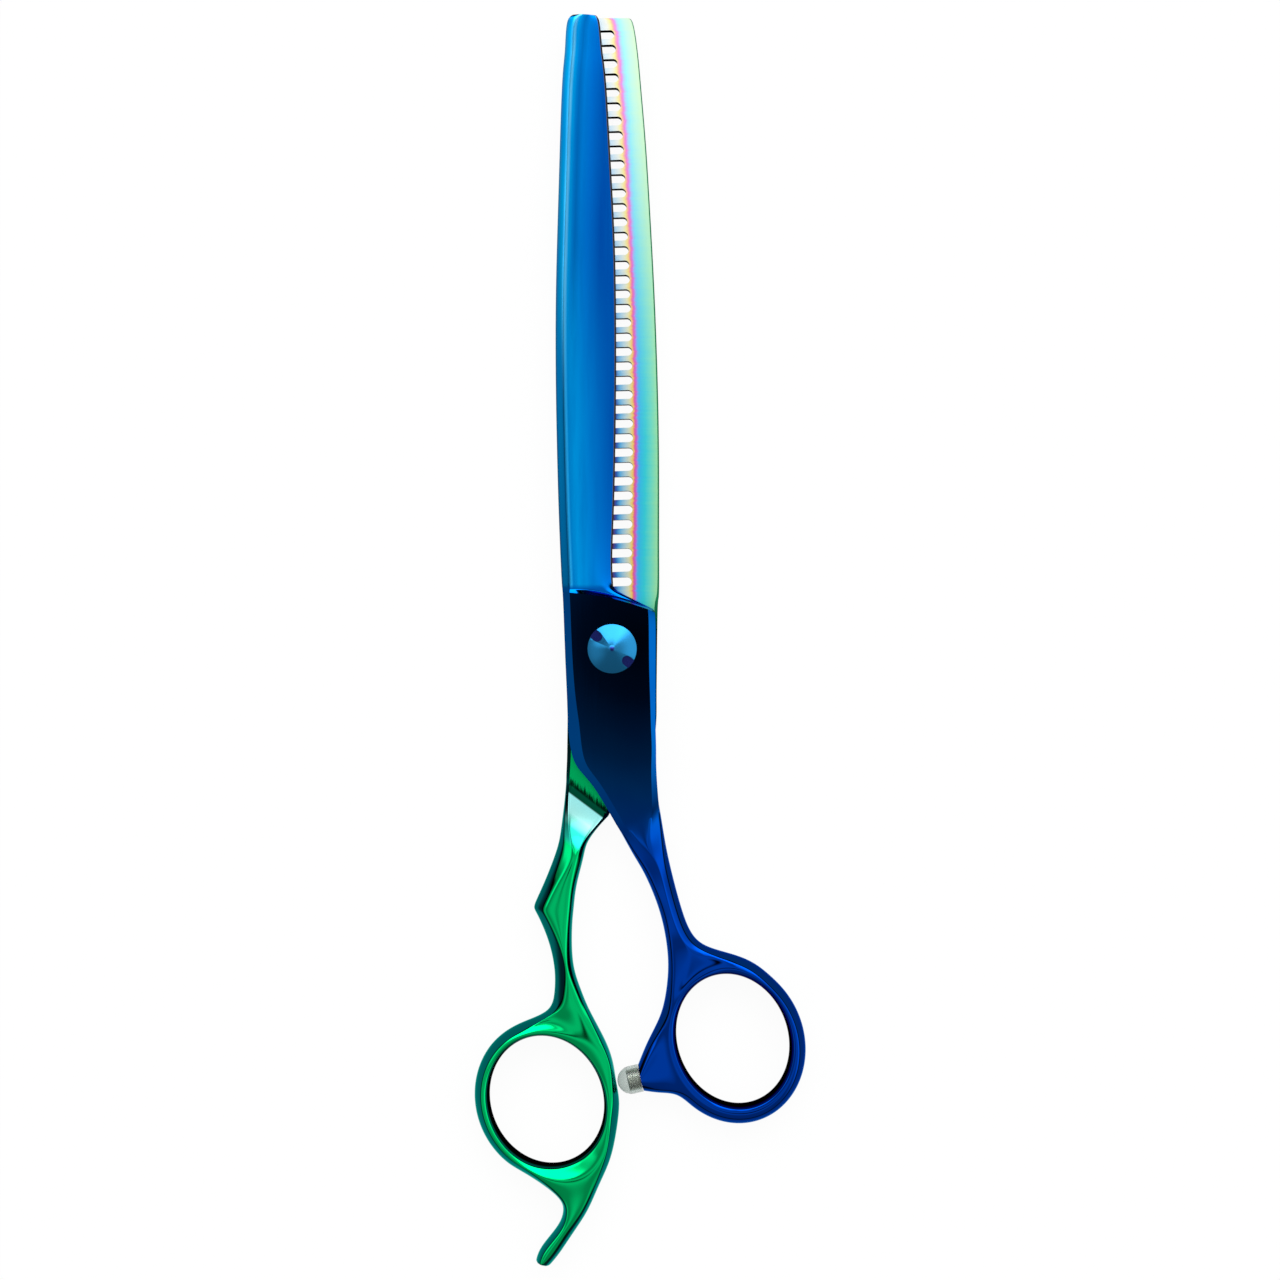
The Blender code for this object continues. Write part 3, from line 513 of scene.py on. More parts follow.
# %% Bumper axis
BUMPER_ANGLE = 13.0                 # where it meets the comb ring, degrees from +X
BUMPER_LENGTH = 4.1
BUMPER_RADIUS = 2.45
BUMPER_GAP = 0.2
SEAT_GAP = 0.1
TANG_HALF_WIDTH = 2.35
STUD_RADIUS = 1.0
STUD_REACH = 3.0                    # thread inside the tang
TURN_GAP = 0.12

COMB_RING = Ring(np.array((-11.5, -79.3)), 11.4, 9.85, 2.7, 0.0, 0.0,
                 ((50.0, 40.0, 1.6), (86.0, 28.0, 1.5), (312.0, 30.0, 1.4), (288.0, 35.0, 1.3)),
                 (Scoop(90.0, 28.0, 0.0, -0.5, -0.8, 0.0, 0.0), Scoop(55.0, 30.0, 0.0, 0.0, 0.2, 0.0, 0.0),
                  Scoop(30.0, 45.0, 0.7, 0.0, 0.1, 0.0, 0.0),
                  Scoop(288.0, 60.0, 0.0, 0.5, 0.5, -0.3, -0.75)))
toward_plain_ring = direction(BUMPER_ANGLE)
contact = COMB_RING.centre + toward_plain_ring * outer_radius(COMB_RING, BUMPER_ANGLE)
bumper_foot = contact + toward_plain_ring * (BUMPER_GAP + BUMPER_LENGTH)
bumper_axis = -toward_plain_ring


def set_on_bumper_axis(piece):
    """Move a turned piece's vertices so that its Z axis runs from the tang to the comb ring."""
    turn = Vector((*bumper_axis, 0.0)).to_track_quat("Z", "Y").to_matrix().to_4x4()
    turn.translation = Vector((*bumper_foot, PARTING)) * MM
    piece.data.transform(turn)
    return piece


# %% Plain half
HEAD_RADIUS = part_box("pivot_screw")[1].x / MM
HEAD_GAP = 0.25
BUSH_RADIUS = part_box("pivot_bush")[1].x / MM + TURN_GAP
WASHER_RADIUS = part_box("ride_washer")[1].x / MM + TURN_GAP
BORE_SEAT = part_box("thrust_washer")[0].z / MM - SEAT_GAP
RIDE_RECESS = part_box("ride_washer")[1].z / MM + SEAT_GAP


def make_plain_half():
    """Blade, boss, handle, ring and stop tang of the front half."""
    mesh = new_cage()
    shank_join, tang_join = ring_band(mesh, PLAIN_RING, (PLAIN_SHANK_JOIN, PLAIN_TANG_JOIN))
    blade = blade_chords(PLAIN_BLADE)
    heel = len(blade)
    profiles = [plain_blade_profile(i / heel) for i in range(heel + 1)] + [WALL_PROFILE]
    profiles += [boss_profile(chamfers) for chamfers in BOSS_CHAMFERS]
    profiles += [NECK, NECK_POINT] + [PLAIN_HANDLE] * (len(PLAIN_SHANK) - 2)
    loops = strip(mesh, [*blade, HEEL, WALL_FOOT, *PLAIN_BOSS, *PLAIN_SHANK], profiles, shank_join,
                  corners=(heel, heel + 1, heel + 2))
    crease_loop(mesh, loops[0], HARD_CREASE)
    crease_loop(mesh, loops[heel], HARD_CREASE, *CUTTING_SIDE)
    crease_loop(mesh, loops[heel + 1], HARD_CREASE, *CUTTING_SIDE)
    crease_loop(mesh, loops[heel + 1], WALL_FILLET, TOP_RAILS[0], TOP_RAILS[-1])
    crease_loop(mesh, loops[heel + 2], HARD_CREASE)
    for loop, sweeps in ((loops[heel + 1], WALL_SWEEP), (loops[heel + 2], PLATEAU_SWEEP)):
        for vertex, sweep in zip(loop[1:], sweeps):
            vertex.co += Vector((*sweep, 0.0)) * MM

    end = bumper_foot - bumper_axis * SEAT_GAP
    sideways = np.array((bumper_axis[1], -bumper_axis[0])) * TANG_HALF_WIDTH
    root = np.array([np.array(tang_join[i].co.xy) / MM for i in SIDE_RAILS])
    tip = np.array((end + sideways, end - sideways))
    tang_profile = PLAIN_HANDLE._replace(edge=both(5.1), edge_inset=both(0.8), face=both(5.7),
                                         face_inset=both(1.6), ridge=0.0, middle=5.75)
    tang = strip(mesh, [tip, (tip + root) / 2], [tang_profile] * 2, tang_join)
    crease_loop(mesh, tang[0], HARD_CREASE)

    half = new_piece("plain_half", mesh)
    subdivide(half)
    mouth = HEAD_RADIUS + HEAD_GAP
    high = BOSS_TOP + OVERCUT
    low = PLAIN_RIDE - OVERCUT
    bore = turned("pivot_bore", (
        (0.0, high), (mouth, high), (mouth, BORE_SEAT), (BUSH_RADIUS, BORE_SEAT), (BUSH_RADIUS, RIDE_RECESS),
        (WASHER_RADIUS, RIDE_RECESS), (WASHER_RADIUS, low), (0.0, low)))
    stud_hole = set_on_bumper_axis(turned("stud_hole", (
        (0.0, OVERCUT), (STUD_RADIUS + TURN_GAP, OVERCUT),
        (STUD_RADIUS + TURN_GAP, -STUD_REACH - SEAT_GAP), (0.0, -STUD_REACH - SEAT_GAP)), 48))
    cut(half, bore)
    cut(half, stud_hole)
    return bake(half, bore, stud_hole)


plain_half = make_plain_half()

# %% [markdown]
# ## Comb half
# The comb's inner face is flat, so that its teeth slide under the plain blade. Below the boss it
# ramps up into the handle, which has a broad outer bevel, an elbow for the finger, the ring and
# the curved finger rest.

# %% Outline of the comb half
COMB_BLADE = (
    (0.996, -4.6, 2.95), (0.983, -4.4, 3.75), (0.93, -3.7, 4.55), (0.86, -2.9, 5.2),
    (0.77, -2.4, 5.95), (0.65, -1.8, 6.7), (0.52, -1.4, 7.4), (0.39, -1.35, 7.9),
    (0.26, -1.45, 8.2), (0.14, -1.75, 8.25), (0.06, -2.0, 8.25), (-0.005, -2.2, 8.25),
)
COMB_BOSS = (
    ((-7.6, 6.6), (8.1, 8.5)), ((-8.15, 4.2), (7.95, 5.0)), ((-8.1, -3.0), (7.85, -3.0)),
    ((-7.95, -9.0), (7.8, -9.0)), ((-7.9, -13.0), (7.7, -13.5)), ((-7.95, -17.0), (6.5, -19.4)),
    ((-8.0, -19.6), (3.4, -23.9)), ((-8.1, -22.0), (0.6, -27.2)), ((-8.3, -24.8), (-1.2, -29.9)),
)
COMB_SHANK = (
    ((-9.05, -31.0), (-4.0, -33.6)), ((-9.8, -35.3), (-5.1, -36.8)), ((-11.6, -40.2), (-6.2, -41.2)),
    ((-13.1, -43.6), (-6.7, -44.6)), ((-13.75, -45.4), (-6.9, -46.6)), ((-13.1, -47.0), (-7.05, -48.6)),
    ((-11.3, -51.3), (-7.1, -52.0)), ((-10.2, -56.3), (-6.7, -56.2)), ((-10.2, -60.4), (-5.5, -60.0)),
    ((-10.7, -63.8), (-4.3, -63.2)),
)
FINGER_REST = (
    ((-13.4, -107.5), (-11.0, -108.4)), ((-12.3, -105.0), (-9.2, -106.2)),
    ((-9.7, -101.6), (-6.9, -102.8)), ((-8.65, -98.9), (-4.4, -98.9)), ((-8.8, -96.5), (-2.5, -94.6)),
)
COMB_SHANK_JOIN = (105, 90, 75, 60, 45)
FINGER_REST_JOIN = (255, 270, 285, 300, 315)

# %% Profiles of the comb half
COMB_THICKNESS = (1.7, 2.3)         # along the spine, at the tip and at the heel
TOOTH_THICKNESS = (1.5, 1.7)
SPINE_BREAK = (0.15, 0.3)           # broken edge between the face and the spine
TOOTH_BREAK = 0.05
TOOTH_BACK_BREAK = 0.4
BOSS_BREAKS = ends(0.7, 0.6)
BACK_DROP = 1.2
BACK_CHAMFER = 1.3
FOOT_RISE = 0.09                    # the flat starts to rise a little before the ramp
FOOT_EDGE = 0.75


def comb_blade_profile(step):
    """Section of the comb at a share of the way from the tip to the heel."""
    thickness = between(COMB_THICKNESS, step)
    breaks = ends(TOOTH_BREAK, between(SPINE_BREAK, step))
    return Profile(COMB_RIDE - breaks, both(0.0), both(COMB_RIDE), breaks, 0.0, COMB_RIDE,
                   COMB_RIDE - both(thickness / 3), COMB_RIDE - ends(between(TOOTH_THICKNESS, step), thickness),
                   ends(TOOTH_BACK_BREAK, SPINE_FACET), 0.05, 0.0, SHARP)


COMB_BOSS_PROFILE = Profile(COMB_RIDE - BOSS_BREAKS, both(0.0), both(COMB_RIDE), BOSS_BREAKS, 0.0,
                            COMB_RIDE, both(BACK_DROP), both(0.0), both(BACK_CHAMFER), 0.0, 0.0, SHARP)
RAMP_FOOT = COMB_BOSS_PROFILE._replace(
    edge=COMB_BOSS_PROFILE.edge + FOOT_RISE, middle=COMB_RIDE + FOOT_RISE,
    face=COMB_BOSS_PROFILE.face + FOOT_RISE)
COMB_HANDLE = Profile(ends(5.0, 5.2), ends(1.25, 0.35), both(5.75), ends(1.95, 0.9), 0.0, 5.95,
                      both(PARTING), 2 * PARTING - both(5.45), both(1.0), 0.55, 1.0, SOFT)
RAMP_TOP = COMB_HANDLE._replace(face=both(5.8), face_inset=ends(0.0, 1.2), ridge=0.3, middle=5.85)
RAMP = Profile(ends(3.7, 3.7), ends(0.6, 0.3), both(4.3), ends(1.5, 0.7), 0.0, 4.3, both(PARTING - 0.8),
               both(0.4), both(1.1), 0.3, 0.5, np.array((0.8, 0.9, 0.0, 0.9, 0.8)))
COMB_REST = COMB_HANDLE._replace(edge=both(5.2), edge_inset=ends(0.4, 0.7), face_inset=ends(0.7, 1.3))

# %% [markdown]
# ## Teeth of the comb
# Slots with round roots leave the teeth standing, and each tooth tip has a small notch that holds
# the hair. What repeats at an even pitch suits Geometry Nodes: a line of points, moved sideways by a
# curve so that the roots follow the spine, carries one cutter to every place. A cylinder whose
# outer half is pulled out past the tips makes a slot with a round root. The notches are triangular
# prisms on a second line, half a pitch on.

# %% Teeth of the comb
TOOTH_PITCH = 2.534
SLOT_WIDTH = 1.55
SLOT_TILT = 2.0                     # degrees that the slots rise towards the spine
FIRST_SLOT = 11.85                  # from the pivot to the middle of the first slot
TIP_BRIDGE = 2.4                    # solid metal beyond the last slot
COMB_BACK = (3.7, 4.85)             # metal between slots and spine, at the tip and at the heel
SLOT_REACH = 9.0
SLOT_SIDES = 32
NOTCH_RADIUS = 0.55
CURVE_REACH = 10.0                  # half the range of widths that the placing curves cover

slot_count = int((BLADE_TIP - TIP_BRIDGE - FIRST_SLOT - SLOT_WIDTH / 2) / TOOTH_PITCH) + 1
comb_chords = blade_chords(COMB_BLADE)


def root_line():
    """Height and sideways place of the slot roots, from heel to tip."""
    line = []
    for share, _, spine in reversed(COMB_BLADE):
        back = COMB_BACK[1] + (COMB_BACK[0] - COMB_BACK[1]) * share
        line.append((share, spine - back))
    return line


def tip_line():
    """Height and sideways place of the tooth tips, from heel to tip."""
    return [(share, tip) for share, tip, _ in reversed(COMB_BLADE)]


def set_curve(node, line):
    """Draw a line of share and sideways place into a Float Curve node."""
    curve = node.mapping.curves[0]
    while len(curve.points) < len(line):
        curve.points.new(0.5, 0.5)
    for point, (share, place) in zip(curve.points, line):
        point.location = (max(share, 0.0), (place + CURVE_REACH) / (2 * CURVE_REACH))
    node.mapping.update()


class Nodes:
    """Short hand for building a node tree."""

    def __init__(self, tree):
        self.tree = tree

    def add(self, kind, inputs=None, **settings):
        """Add a node, set its properties and its inputs by name or number."""
        node = self.tree.nodes.new(kind)
        for name, value in settings.items():
            setattr(node, name, value)
        for name, value in (inputs or {}).items():
            self.feed(node.inputs[name], value)
        return node

    def feed(self, socket, value):
        """Link an output to a socket, or set the socket's own value."""
        if isinstance(value, bpy.types.NodeSocket):
            self.tree.links.new(value, socket)
        else:
            socket.default_value = value

    def math(self, operation, *values, kind="ShaderNodeMath"):
        """One step of arithmetic."""
        node = self.add(kind, operation=operation)
        for socket, value in zip(node.inputs, values):
            self.feed(socket, value)
        return node.outputs[0]


def place_points(nodes, count, first, line, pitch):
    """Points at an even pitch along the blade, set sideways by a line."""
    start = nodes.add("ShaderNodeCombineXYZ", {"Y": first}).outputs[0]
    step = nodes.add("ShaderNodeCombineXYZ", {"Y": pitch}).outputs[0]
    points = nodes.add("GeometryNodeMeshLine", {"Count": count, "Start Location": start, "Offset": step})
    place = nodes.add("GeometryNodeInputPosition")
    y = nodes.add("ShaderNodeSeparateXYZ", {0: place.outputs[0]}).outputs["Y"]
    share = nodes.math("DIVIDE", nodes.math("SUBTRACT", y, BLADE_HEEL * MM), BLADE_LENGTH * MM)
    curve = nodes.add("ShaderNodeFloatCurve", {"Value": share})
    set_curve(curve, line)
    sideways = nodes.math("MULTIPLY", nodes.math("SUBTRACT", curve.outputs[0], 0.5), 2 * CURVE_REACH * MM)
    offset = nodes.add("ShaderNodeCombineXYZ", {"X": sideways}).outputs[0]
    return nodes.add("GeometryNodeSetPosition", {"Geometry": points.outputs[0], "Offset": offset}).outputs[0]


def comb_tree():
    """Geometry Nodes that cut the slots and the notches out of the comb."""
    tree = bpy.data.node_groups.new("comb_teeth", "GeometryNodeTree")
    tree.interface.new_socket("Geometry", in_out="OUTPUT", socket_type="NodeSocketGeometry")
    for name, kind in (("Geometry", "Geometry"), ("Slots", "Int"), ("Pitch", "Float"),
                       ("First Slot", "Float"), ("Slot Width", "Float"), ("Notch Radius", "Float"),
                       ("Finish", "Material")):
        tree.interface.new_socket(name, in_out="INPUT", socket_type="NodeSocket" + kind)
    nodes = Nodes(tree)
    given = nodes.add("NodeGroupInput").outputs
    half_width = nodes.math("DIVIDE", given["Slot Width"], 2.0)
    level = (COMB_RIDE - COMB_THICKNESS[1] / 2) * MM
    depth = (COMB_THICKNESS[1] + 2 * OVERCUT) * MM

    rod = nodes.add("GeometryNodeMeshCylinder", {
        "Vertices": SLOT_SIDES, "Radius": half_width, "Depth": depth}).outputs["Mesh"]
    place = nodes.add("GeometryNodeInputPosition").outputs[0]
    outer_half = nodes.math("LESS_THAN", nodes.add("ShaderNodeSeparateXYZ", {0: place}).outputs["X"], -1e-6)
    slot = nodes.add("GeometryNodeSetPosition", {
        "Geometry": rod, "Selection": outer_half, "Offset": (-SLOT_REACH * MM, 0.0, 0.0)}).outputs[0]
    centred = nodes.add("GeometryNodeTransform", {"Geometry": slot})
    shift = nodes.add("ShaderNodeCombineXYZ", {"X": nodes.math("MULTIPLY", half_width, -1.0), "Z": level})
    nodes.feed(centred.inputs["Translation"], shift.outputs[0])
    roots = place_points(nodes, given["Slots"], given["First Slot"], root_line(), given["Pitch"])
    slots = nodes.add("GeometryNodeInstanceOnPoints", {
        "Points": roots, "Instance": centred.outputs[0], "Rotation": (0.0, 0.0, math.radians(SLOT_TILT))})

    prism = nodes.add("GeometryNodeMeshCylinder", {
        "Vertices": 3, "Radius": given["Notch Radius"], "Depth": depth}).outputs["Mesh"]
    raised = nodes.add("GeometryNodeTransform", {"Geometry": prism, "Translation": (0.0, 0.0, level)})
    notch_count = nodes.math("SUBTRACT", given["Slots"], 1.0)
    tooth_drop = math.tan(math.radians(SLOT_TILT)) * SLOT_REACH * MM / 2
    half_pitch = nodes.math("SUBTRACT", nodes.math("DIVIDE", given["Pitch"], 2.0), tooth_drop)
    first_notch = nodes.math("ADD", given["First Slot"], half_pitch)
    tips = place_points(nodes, notch_count, first_notch, tip_line(), given["Pitch"])
    notches = nodes.add("GeometryNodeInstanceOnPoints", {"Points": tips, "Instance": raised.outputs[0]})

    comb = given["Geometry"]
    for cutters in (slots, notches):
        real = nodes.add("GeometryNodeRealizeInstances", {"Geometry": cutters.outputs[0]})
        comb = nodes.add("GeometryNodeMeshBoolean", {"Mesh 1": comb, "Mesh 2": real.outputs[0]},
                         operation="DIFFERENCE", solver="EXACT").outputs[0]
    finished = nodes.add("GeometryNodeSetMaterial", {"Geometry": comb, "Material": given["Finish"]})
    nodes.add("NodeGroupOutput", {0: finished.outputs[0]})
    return tree


def cut_teeth(piece, finish):
    """Put the teeth tree on the comb with its sizes."""
    tree = comb_tree()
    modifier = piece.modifiers.new("teeth", "NODES")
    modifier.node_group = tree
    sizes = {"Slots": slot_count, "Pitch": TOOTH_PITCH * MM, "First Slot": FIRST_SLOT * MM,
             "Slot Width": SLOT_WIDTH * MM, "Notch Radius": NOTCH_RADIUS * MM, "Finish": finish}
    for item in tree.interface.items_tree:
        if item.in_out == "INPUT" and item.name in sizes:
            modifier[item.identifier] = sizes[item.name]


# %% Comb half
NUT_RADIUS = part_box("pivot_nut")[1].x / MM + TURN_GAP
NUT_WALL_RADIUS = 3.72 + TURN_GAP
NUT_FLANGE = 1.0
COMB_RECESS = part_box("ride_washer")[0].z / MM - SEAT_GAP


def make_comb_half(finish):
    """Toothed blade, boss, handle, ring and finger rest of the back half."""
    mesh = new_cage()
    shank_join, rest_join = ring_band(mesh, COMB_RING, (COMB_SHANK_JOIN, FINGER_REST_JOIN))
    profiles = [comb_blade_profile(i / (len(comb_chords) - 1)) for i in range(len(comb_chords))]
    profiles += [COMB_BOSS_PROFILE] * (len(COMB_BOSS) - 1) + [RAMP_FOOT]
    profiles += [RAMP, RAMP_TOP] + [COMB_HANDLE] * (len(COMB_SHANK) - 2)
    loops = strip(mesh, [*comb_chords, *COMB_BOSS, *COMB_SHANK], profiles, shank_join)
    crease_loop(mesh, loops[0], HARD_CREASE)
    crease_loop(mesh, loops[len(comb_chords) + len(COMB_BOSS) - 1], FOOT_EDGE, TOP_RAILS[0], TOP_RAILS[-1])
    rest = strip(mesh, FINGER_REST, [COMB_REST] * len(FINGER_REST), rest_join)
    crease_loop(mesh, rest[0], SOFT_CREASE)

    half = new_piece("comb_half", mesh)
    subdivide(half)
    high = COMB_RIDE + OVERCUT
    seat = NUT_FLANGE + SEAT_GAP
    bore = turned("nut_bore", (
        (0.0, high), (WASHER_RADIUS, high), (WASHER_RADIUS, COMB_RECESS), (NUT_WALL_RADIUS, COMB_RECESS),
        (NUT_WALL_RADIUS, seat), (NUT_RADIUS, seat), (NUT_RADIUS, -OVERCUT), (0.0, -OVERCUT)))
    cut(half, bore)
    cut_teeth(half, finish)
    return bake(half, bore)


green_film = bpy.data.materials.new("green_film")
comb_half = make_comb_half(green_film)

# %% [markdown]
# ## Tension screw and nut
# The screw head is a flat cone with a small raised point and two round-ended key slots in its
# rim. It is a lathe part, so its section is spun. The nut closes the pivot behind, flush with
# the back of the comb half.

# %% Tension screw and nut
screw_low, screw_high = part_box("pivot_screw")
SCREW_RADIUS = 2.5
HEAD_RIM = 0.45
HEAD_EDGE = 0.08                    # broken edge of the rim
HEAD_TOP = BOSS_TOP + 0.1
CONE_FOOT_OF_POINT = 0.75           # radius where the point rises from the cone
KEY_SLOT_WIDTH = 1.75
KEY_SLOT_LENGTH = 1.9
KEY_SLOT_FLOOR = 0.2
KEY_SLOT_ANGLE = 141.0
KEY_SLOT_STEPS = 16


def slot_outline(root, mouth, width):
    """Outline of a slot with a round root."""
    along = (mouth - root) / np.linalg.norm(mouth - root)
    across = np.array((-along[1], along[0]))
    half = width / 2
    centre = root + along * half
    points = [mouth + across * half]
    for step in range(KEY_SLOT_STEPS + 1):
        turn = math.pi * step / KEY_SLOT_STEPS
        points.append(centre + across * half * math.cos(turn) - along * half * math.sin(turn))
    points.append(mouth - across * half)
    return points


def make_screw():
    """Conical head with key slots, on a plain shank."""
    point = screw_high.z / MM
    under = HEAD_TOP - HEAD_RIM
    screw = turned("tension_screw_head", (
        (0.0, point), (0.12, point - 0.02), (0.3, point - 0.1), (CONE_FOOT_OF_POINT, point - 0.26),
        (HEAD_RADIUS - HEAD_EDGE, HEAD_TOP), (HEAD_RADIUS, HEAD_TOP - HEAD_EDGE), (HEAD_RADIUS, under),
        (SCREW_RADIUS, under), (SCREW_RADIUS, screw_low.z / MM), (0.0, screw_low.z / MM)))
    mesh = bmesh.new()
    for turn in (KEY_SLOT_ANGLE, KEY_SLOT_ANGLE + 180):
        out = direction(turn)
        outline = slot_outline(out * (HEAD_RADIUS - KEY_SLOT_LENGTH), out * (HEAD_RADIUS + OVERCUT),
                               KEY_SLOT_WIDTH)
        add_prism(mesh, outline, under + KEY_SLOT_FLOOR, point + OVERCUT)
    key_slots = new_piece("key_slots", mesh)
    cut(screw, key_slots)
    return bake(screw, key_slots)


def make_nut():
    """Flanged nut with a closed back and a broken rim."""
    low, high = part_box("pivot_nut")
    rim = high.x / MM
    barrel = NUT_WALL_RADIUS - TURN_GAP
    bore = SCREW_RADIUS + TURN_GAP
    floor = screw_low.z / MM - SEAT_GAP
    return bake(turned("nut", (
        (0.0, floor), (bore, floor), (bore, high.z / MM), (barrel, high.z / MM), (barrel, NUT_FLANGE),
        (rim, NUT_FLANGE), (rim, HEAD_EDGE), (rim - HEAD_EDGE, low.z / MM), (0.0, low.z / MM))))


screw = make_screw()
nut = make_nut()

# %% [markdown]
# ## Bumper
# A clear rubber dome keeps the rings from knocking together. Its stud is screwed into the tang,
# and its ribbed, slotted head shows through the rubber, larger than it is, because a clear round
# body magnifies what it holds.

# %% Bumper
STUD_HEAD_RADIUS = 1.8
STUD_HEAD_LENGTH = 2.1
STUD_SLOT_WIDTH = 0.5
STUD_SLOT_DEPTH = 0.7
STUD_RIBS = 5
RIB_DEPTH = 0.16
DOME_STEPS = 24


def make_cap():
    """Hollow dome of clear rubber."""
    wall = STUD_HEAD_RADIUS + SEAT_GAP
    spring_line = BUMPER_LENGTH - BUMPER_RADIUS
    profile = [(0.0, BUMPER_LENGTH)]
    for step in range(1, DOME_STEPS + 1):
        turn = math.pi / 2 * step / DOME_STEPS
        profile.append((BUMPER_RADIUS * math.sin(turn), spring_line + BUMPER_RADIUS * math.cos(turn)))
    roof = STUD_HEAD_LENGTH + SEAT_GAP
    profile += [(BUMPER_RADIUS, 0.0), (wall, 0.0), (wall, roof), (0.0, roof)]
    return bake(set_on_bumper_axis(turned("bumper_dome", profile)))


def make_stud():
    """Stud with a ribbed and slotted head."""
    profile = [(0.0, STUD_HEAD_LENGTH), (STUD_HEAD_RADIUS - RIB_DEPTH, STUD_HEAD_LENGTH)]
    pitch = STUD_HEAD_LENGTH / STUD_RIBS
    for rib in range(STUD_RIBS):
        top = STUD_HEAD_LENGTH - rib * pitch
        profile.append((STUD_HEAD_RADIUS, top - pitch / 4))
        profile.append((STUD_HEAD_RADIUS, top - pitch / 2))
        profile.append((STUD_HEAD_RADIUS - RIB_DEPTH, top - 3 * pitch / 4))
    profile += [(STUD_HEAD_RADIUS, 0.0), (STUD_RADIUS, 0.0), (STUD_RADIUS, -STUD_REACH), (0.0, -STUD_REACH)]
    stud = turned("bumper_stud_ribbed", profile, 64)
    mesh = bmesh.new()
    reach = STUD_HEAD_RADIUS + OVERCUT
    half = STUD_SLOT_WIDTH / 2
    add_prism(mesh, ((-reach, -half), (reach, -half), (reach, half), (-reach, half)),
              STUD_HEAD_LENGTH - STUD_SLOT_DEPTH, STUD_HEAD_LENGTH + OVERCUT)
    slot = new_piece("stud_slot", mesh)
    cut(stud, slot)
    return set_on_bumper_axis(bake(stud, slot))


dome = make_cap()
stud = make_stud()

# %% [markdown]
# ## Finishes
# Every finish is a small node tree on Object coordinates. The steel is coated by vapour in a
# vacuum: a film thin enough to tint the light, and its tint depends on how thick the film came out.
# Steep walls, the rounded edges next to them and the walls of the ring holes are painted dark. This
# is painted shade that stands in for their dark reflections.

# %% Helpers for the finishes
# Painted shade: black on rounded edges, and the facings at which walls and edges take their painted dark
# colours.
CREASE_SHADE_BLACK = (0.0, 0.008, 0.012)
WALL_SHADE_FACING = (0.6, 0.68)           # facing of a wall, and of a rounded edge
CREASE_SHADE_FACING = (0.74, 0.82)          # facing of a rounded edge, and of a face
# Where the painted shade on the wall of a ring's hole ends.
HOLE_SHADE_WALL = (1.02, 1.07)            # end of a hole's wall and start of the crown, in radii of the hole


def open_finish(material):
    """Node helper of a material, and its shader."""
    material.use_nodes = True
    return Nodes(material.node_tree), material.node_tree.nodes["Principled BSDF"]


def ramp(nodes, value, stops, interpolation="LINEAR"):
    """Colours along a value, from stops of position and colour."""
    node = nodes.add("ShaderNodeValToRGB", {"Fac": value})
    node.color_ramp.interpolation = interpolation
    elements = node.color_ramp.elements
    while len(elements) < len(stops):
        elements.new(0.5)
    for element, (position, colour) in zip(elements, stops):
        element.position = position
        element.color = (*colour, 1.0)
    return node.outputs["Color"]


def spread(nodes, value, low, high, to_low=0.0, to_high=1.0):
    """Map a range of a value smoothly onto another range."""
    return nodes.add("ShaderNodeMapRange", {
        "Value": value, "From Min": low, "From Max": high, "To Min": to_low, "To Max": to_high},
        interpolation_type="SMOOTHSTEP").outputs["Result"]


def spread_mm(nodes, value, limits):
    """Nothing to one between two limits in millimetres."""
    return spread(nodes, value, limits[0] * MM, limits[1] * MM)


def mix(nodes, amount, first, second, blend_type="MIX"):
    """Mix two colours."""
    node = nodes.add("ShaderNodeMix", data_type="RGBA", blend_type=blend_type)
    nodes.feed(node.inputs["Factor"], amount)
    for socket, colour in ((node.inputs[6], first), (node.inputs[7], second)):
        nodes.feed(socket, colour if isinstance(colour, bpy.types.NodeSocket) else (*colour, 1.0))
    return node.outputs[2]


def surface(nodes):
    """Object coordinates in metres, one by one, and how far a face looks along Z."""
    place = nodes.add("ShaderNodeTexCoord")
    axes = nodes.add("ShaderNodeSeparateXYZ", {0: place.outputs["Object"]}).outputs
    normal = nodes.add("ShaderNodeSeparateXYZ", {0: place.outputs["Normal"]}).outputs
    return place.outputs["Object"], axes["X"], axes["Y"], axes["Z"], nodes.math("ABSOLUTE", normal["Z"])


def noise(nodes, place, scale, stretch=(1.0, 1.0, 1.0), detail=2.0):
    """Noise that can be drawn out along an axis."""
    mapped = nodes.add("ShaderNodeMapping", {"Vector": place, "Scale": stretch}).outputs[0]
    return nodes.add("ShaderNodeTexNoise", {"Vector": mapped, "Scale": scale, "Detail": detail}).outputs[0]


def shade_by_facing(nodes, facing, wall, edge, face):
    """Painted shade by facing: a dark colour on a steep wall and on the rounded edge between it and a face,
    which keeps its own colour.
    """
    turned_edge = mix(nodes, spread(nodes, facing, *WALL_SHADE_FACING), wall, edge)
    return mix(nodes, spread(nodes, facing, *CREASE_SHADE_FACING), turned_edge, face)


def hole_wall_shade(nodes, place, ring):
    """Mask of painted shade: one on the wall of a ring's hole, and nothing on the rest of the ring."""
    turned_place = nodes.add("ShaderNodeMapping", {
        "Vector": place, "Location": (*(ring.centre * MM), 0.0),
        "Rotation": (0.0, 0.0, math.radians(RING_TILT)),
        "Scale": (ring.long * MM, ring.short * MM, 1.0)}, vector_type="TEXTURE").outputs[0]
    share = nodes.add("ShaderNodeVectorMath", {0: turned_place}, operation="LENGTH").outputs["Value"]
    return spread(nodes, share, *HOLE_SHADE_WALL, 1.0, 0.0)


def bump(nodes, shader, height, strength, distance):
    """Bump a shader's surface."""
    node = nodes.add("ShaderNodeBump", {"Height": height, "Strength": strength, "Distance": distance * MM})
    nodes.feed(shader.inputs["Normal"], node.outputs[0])
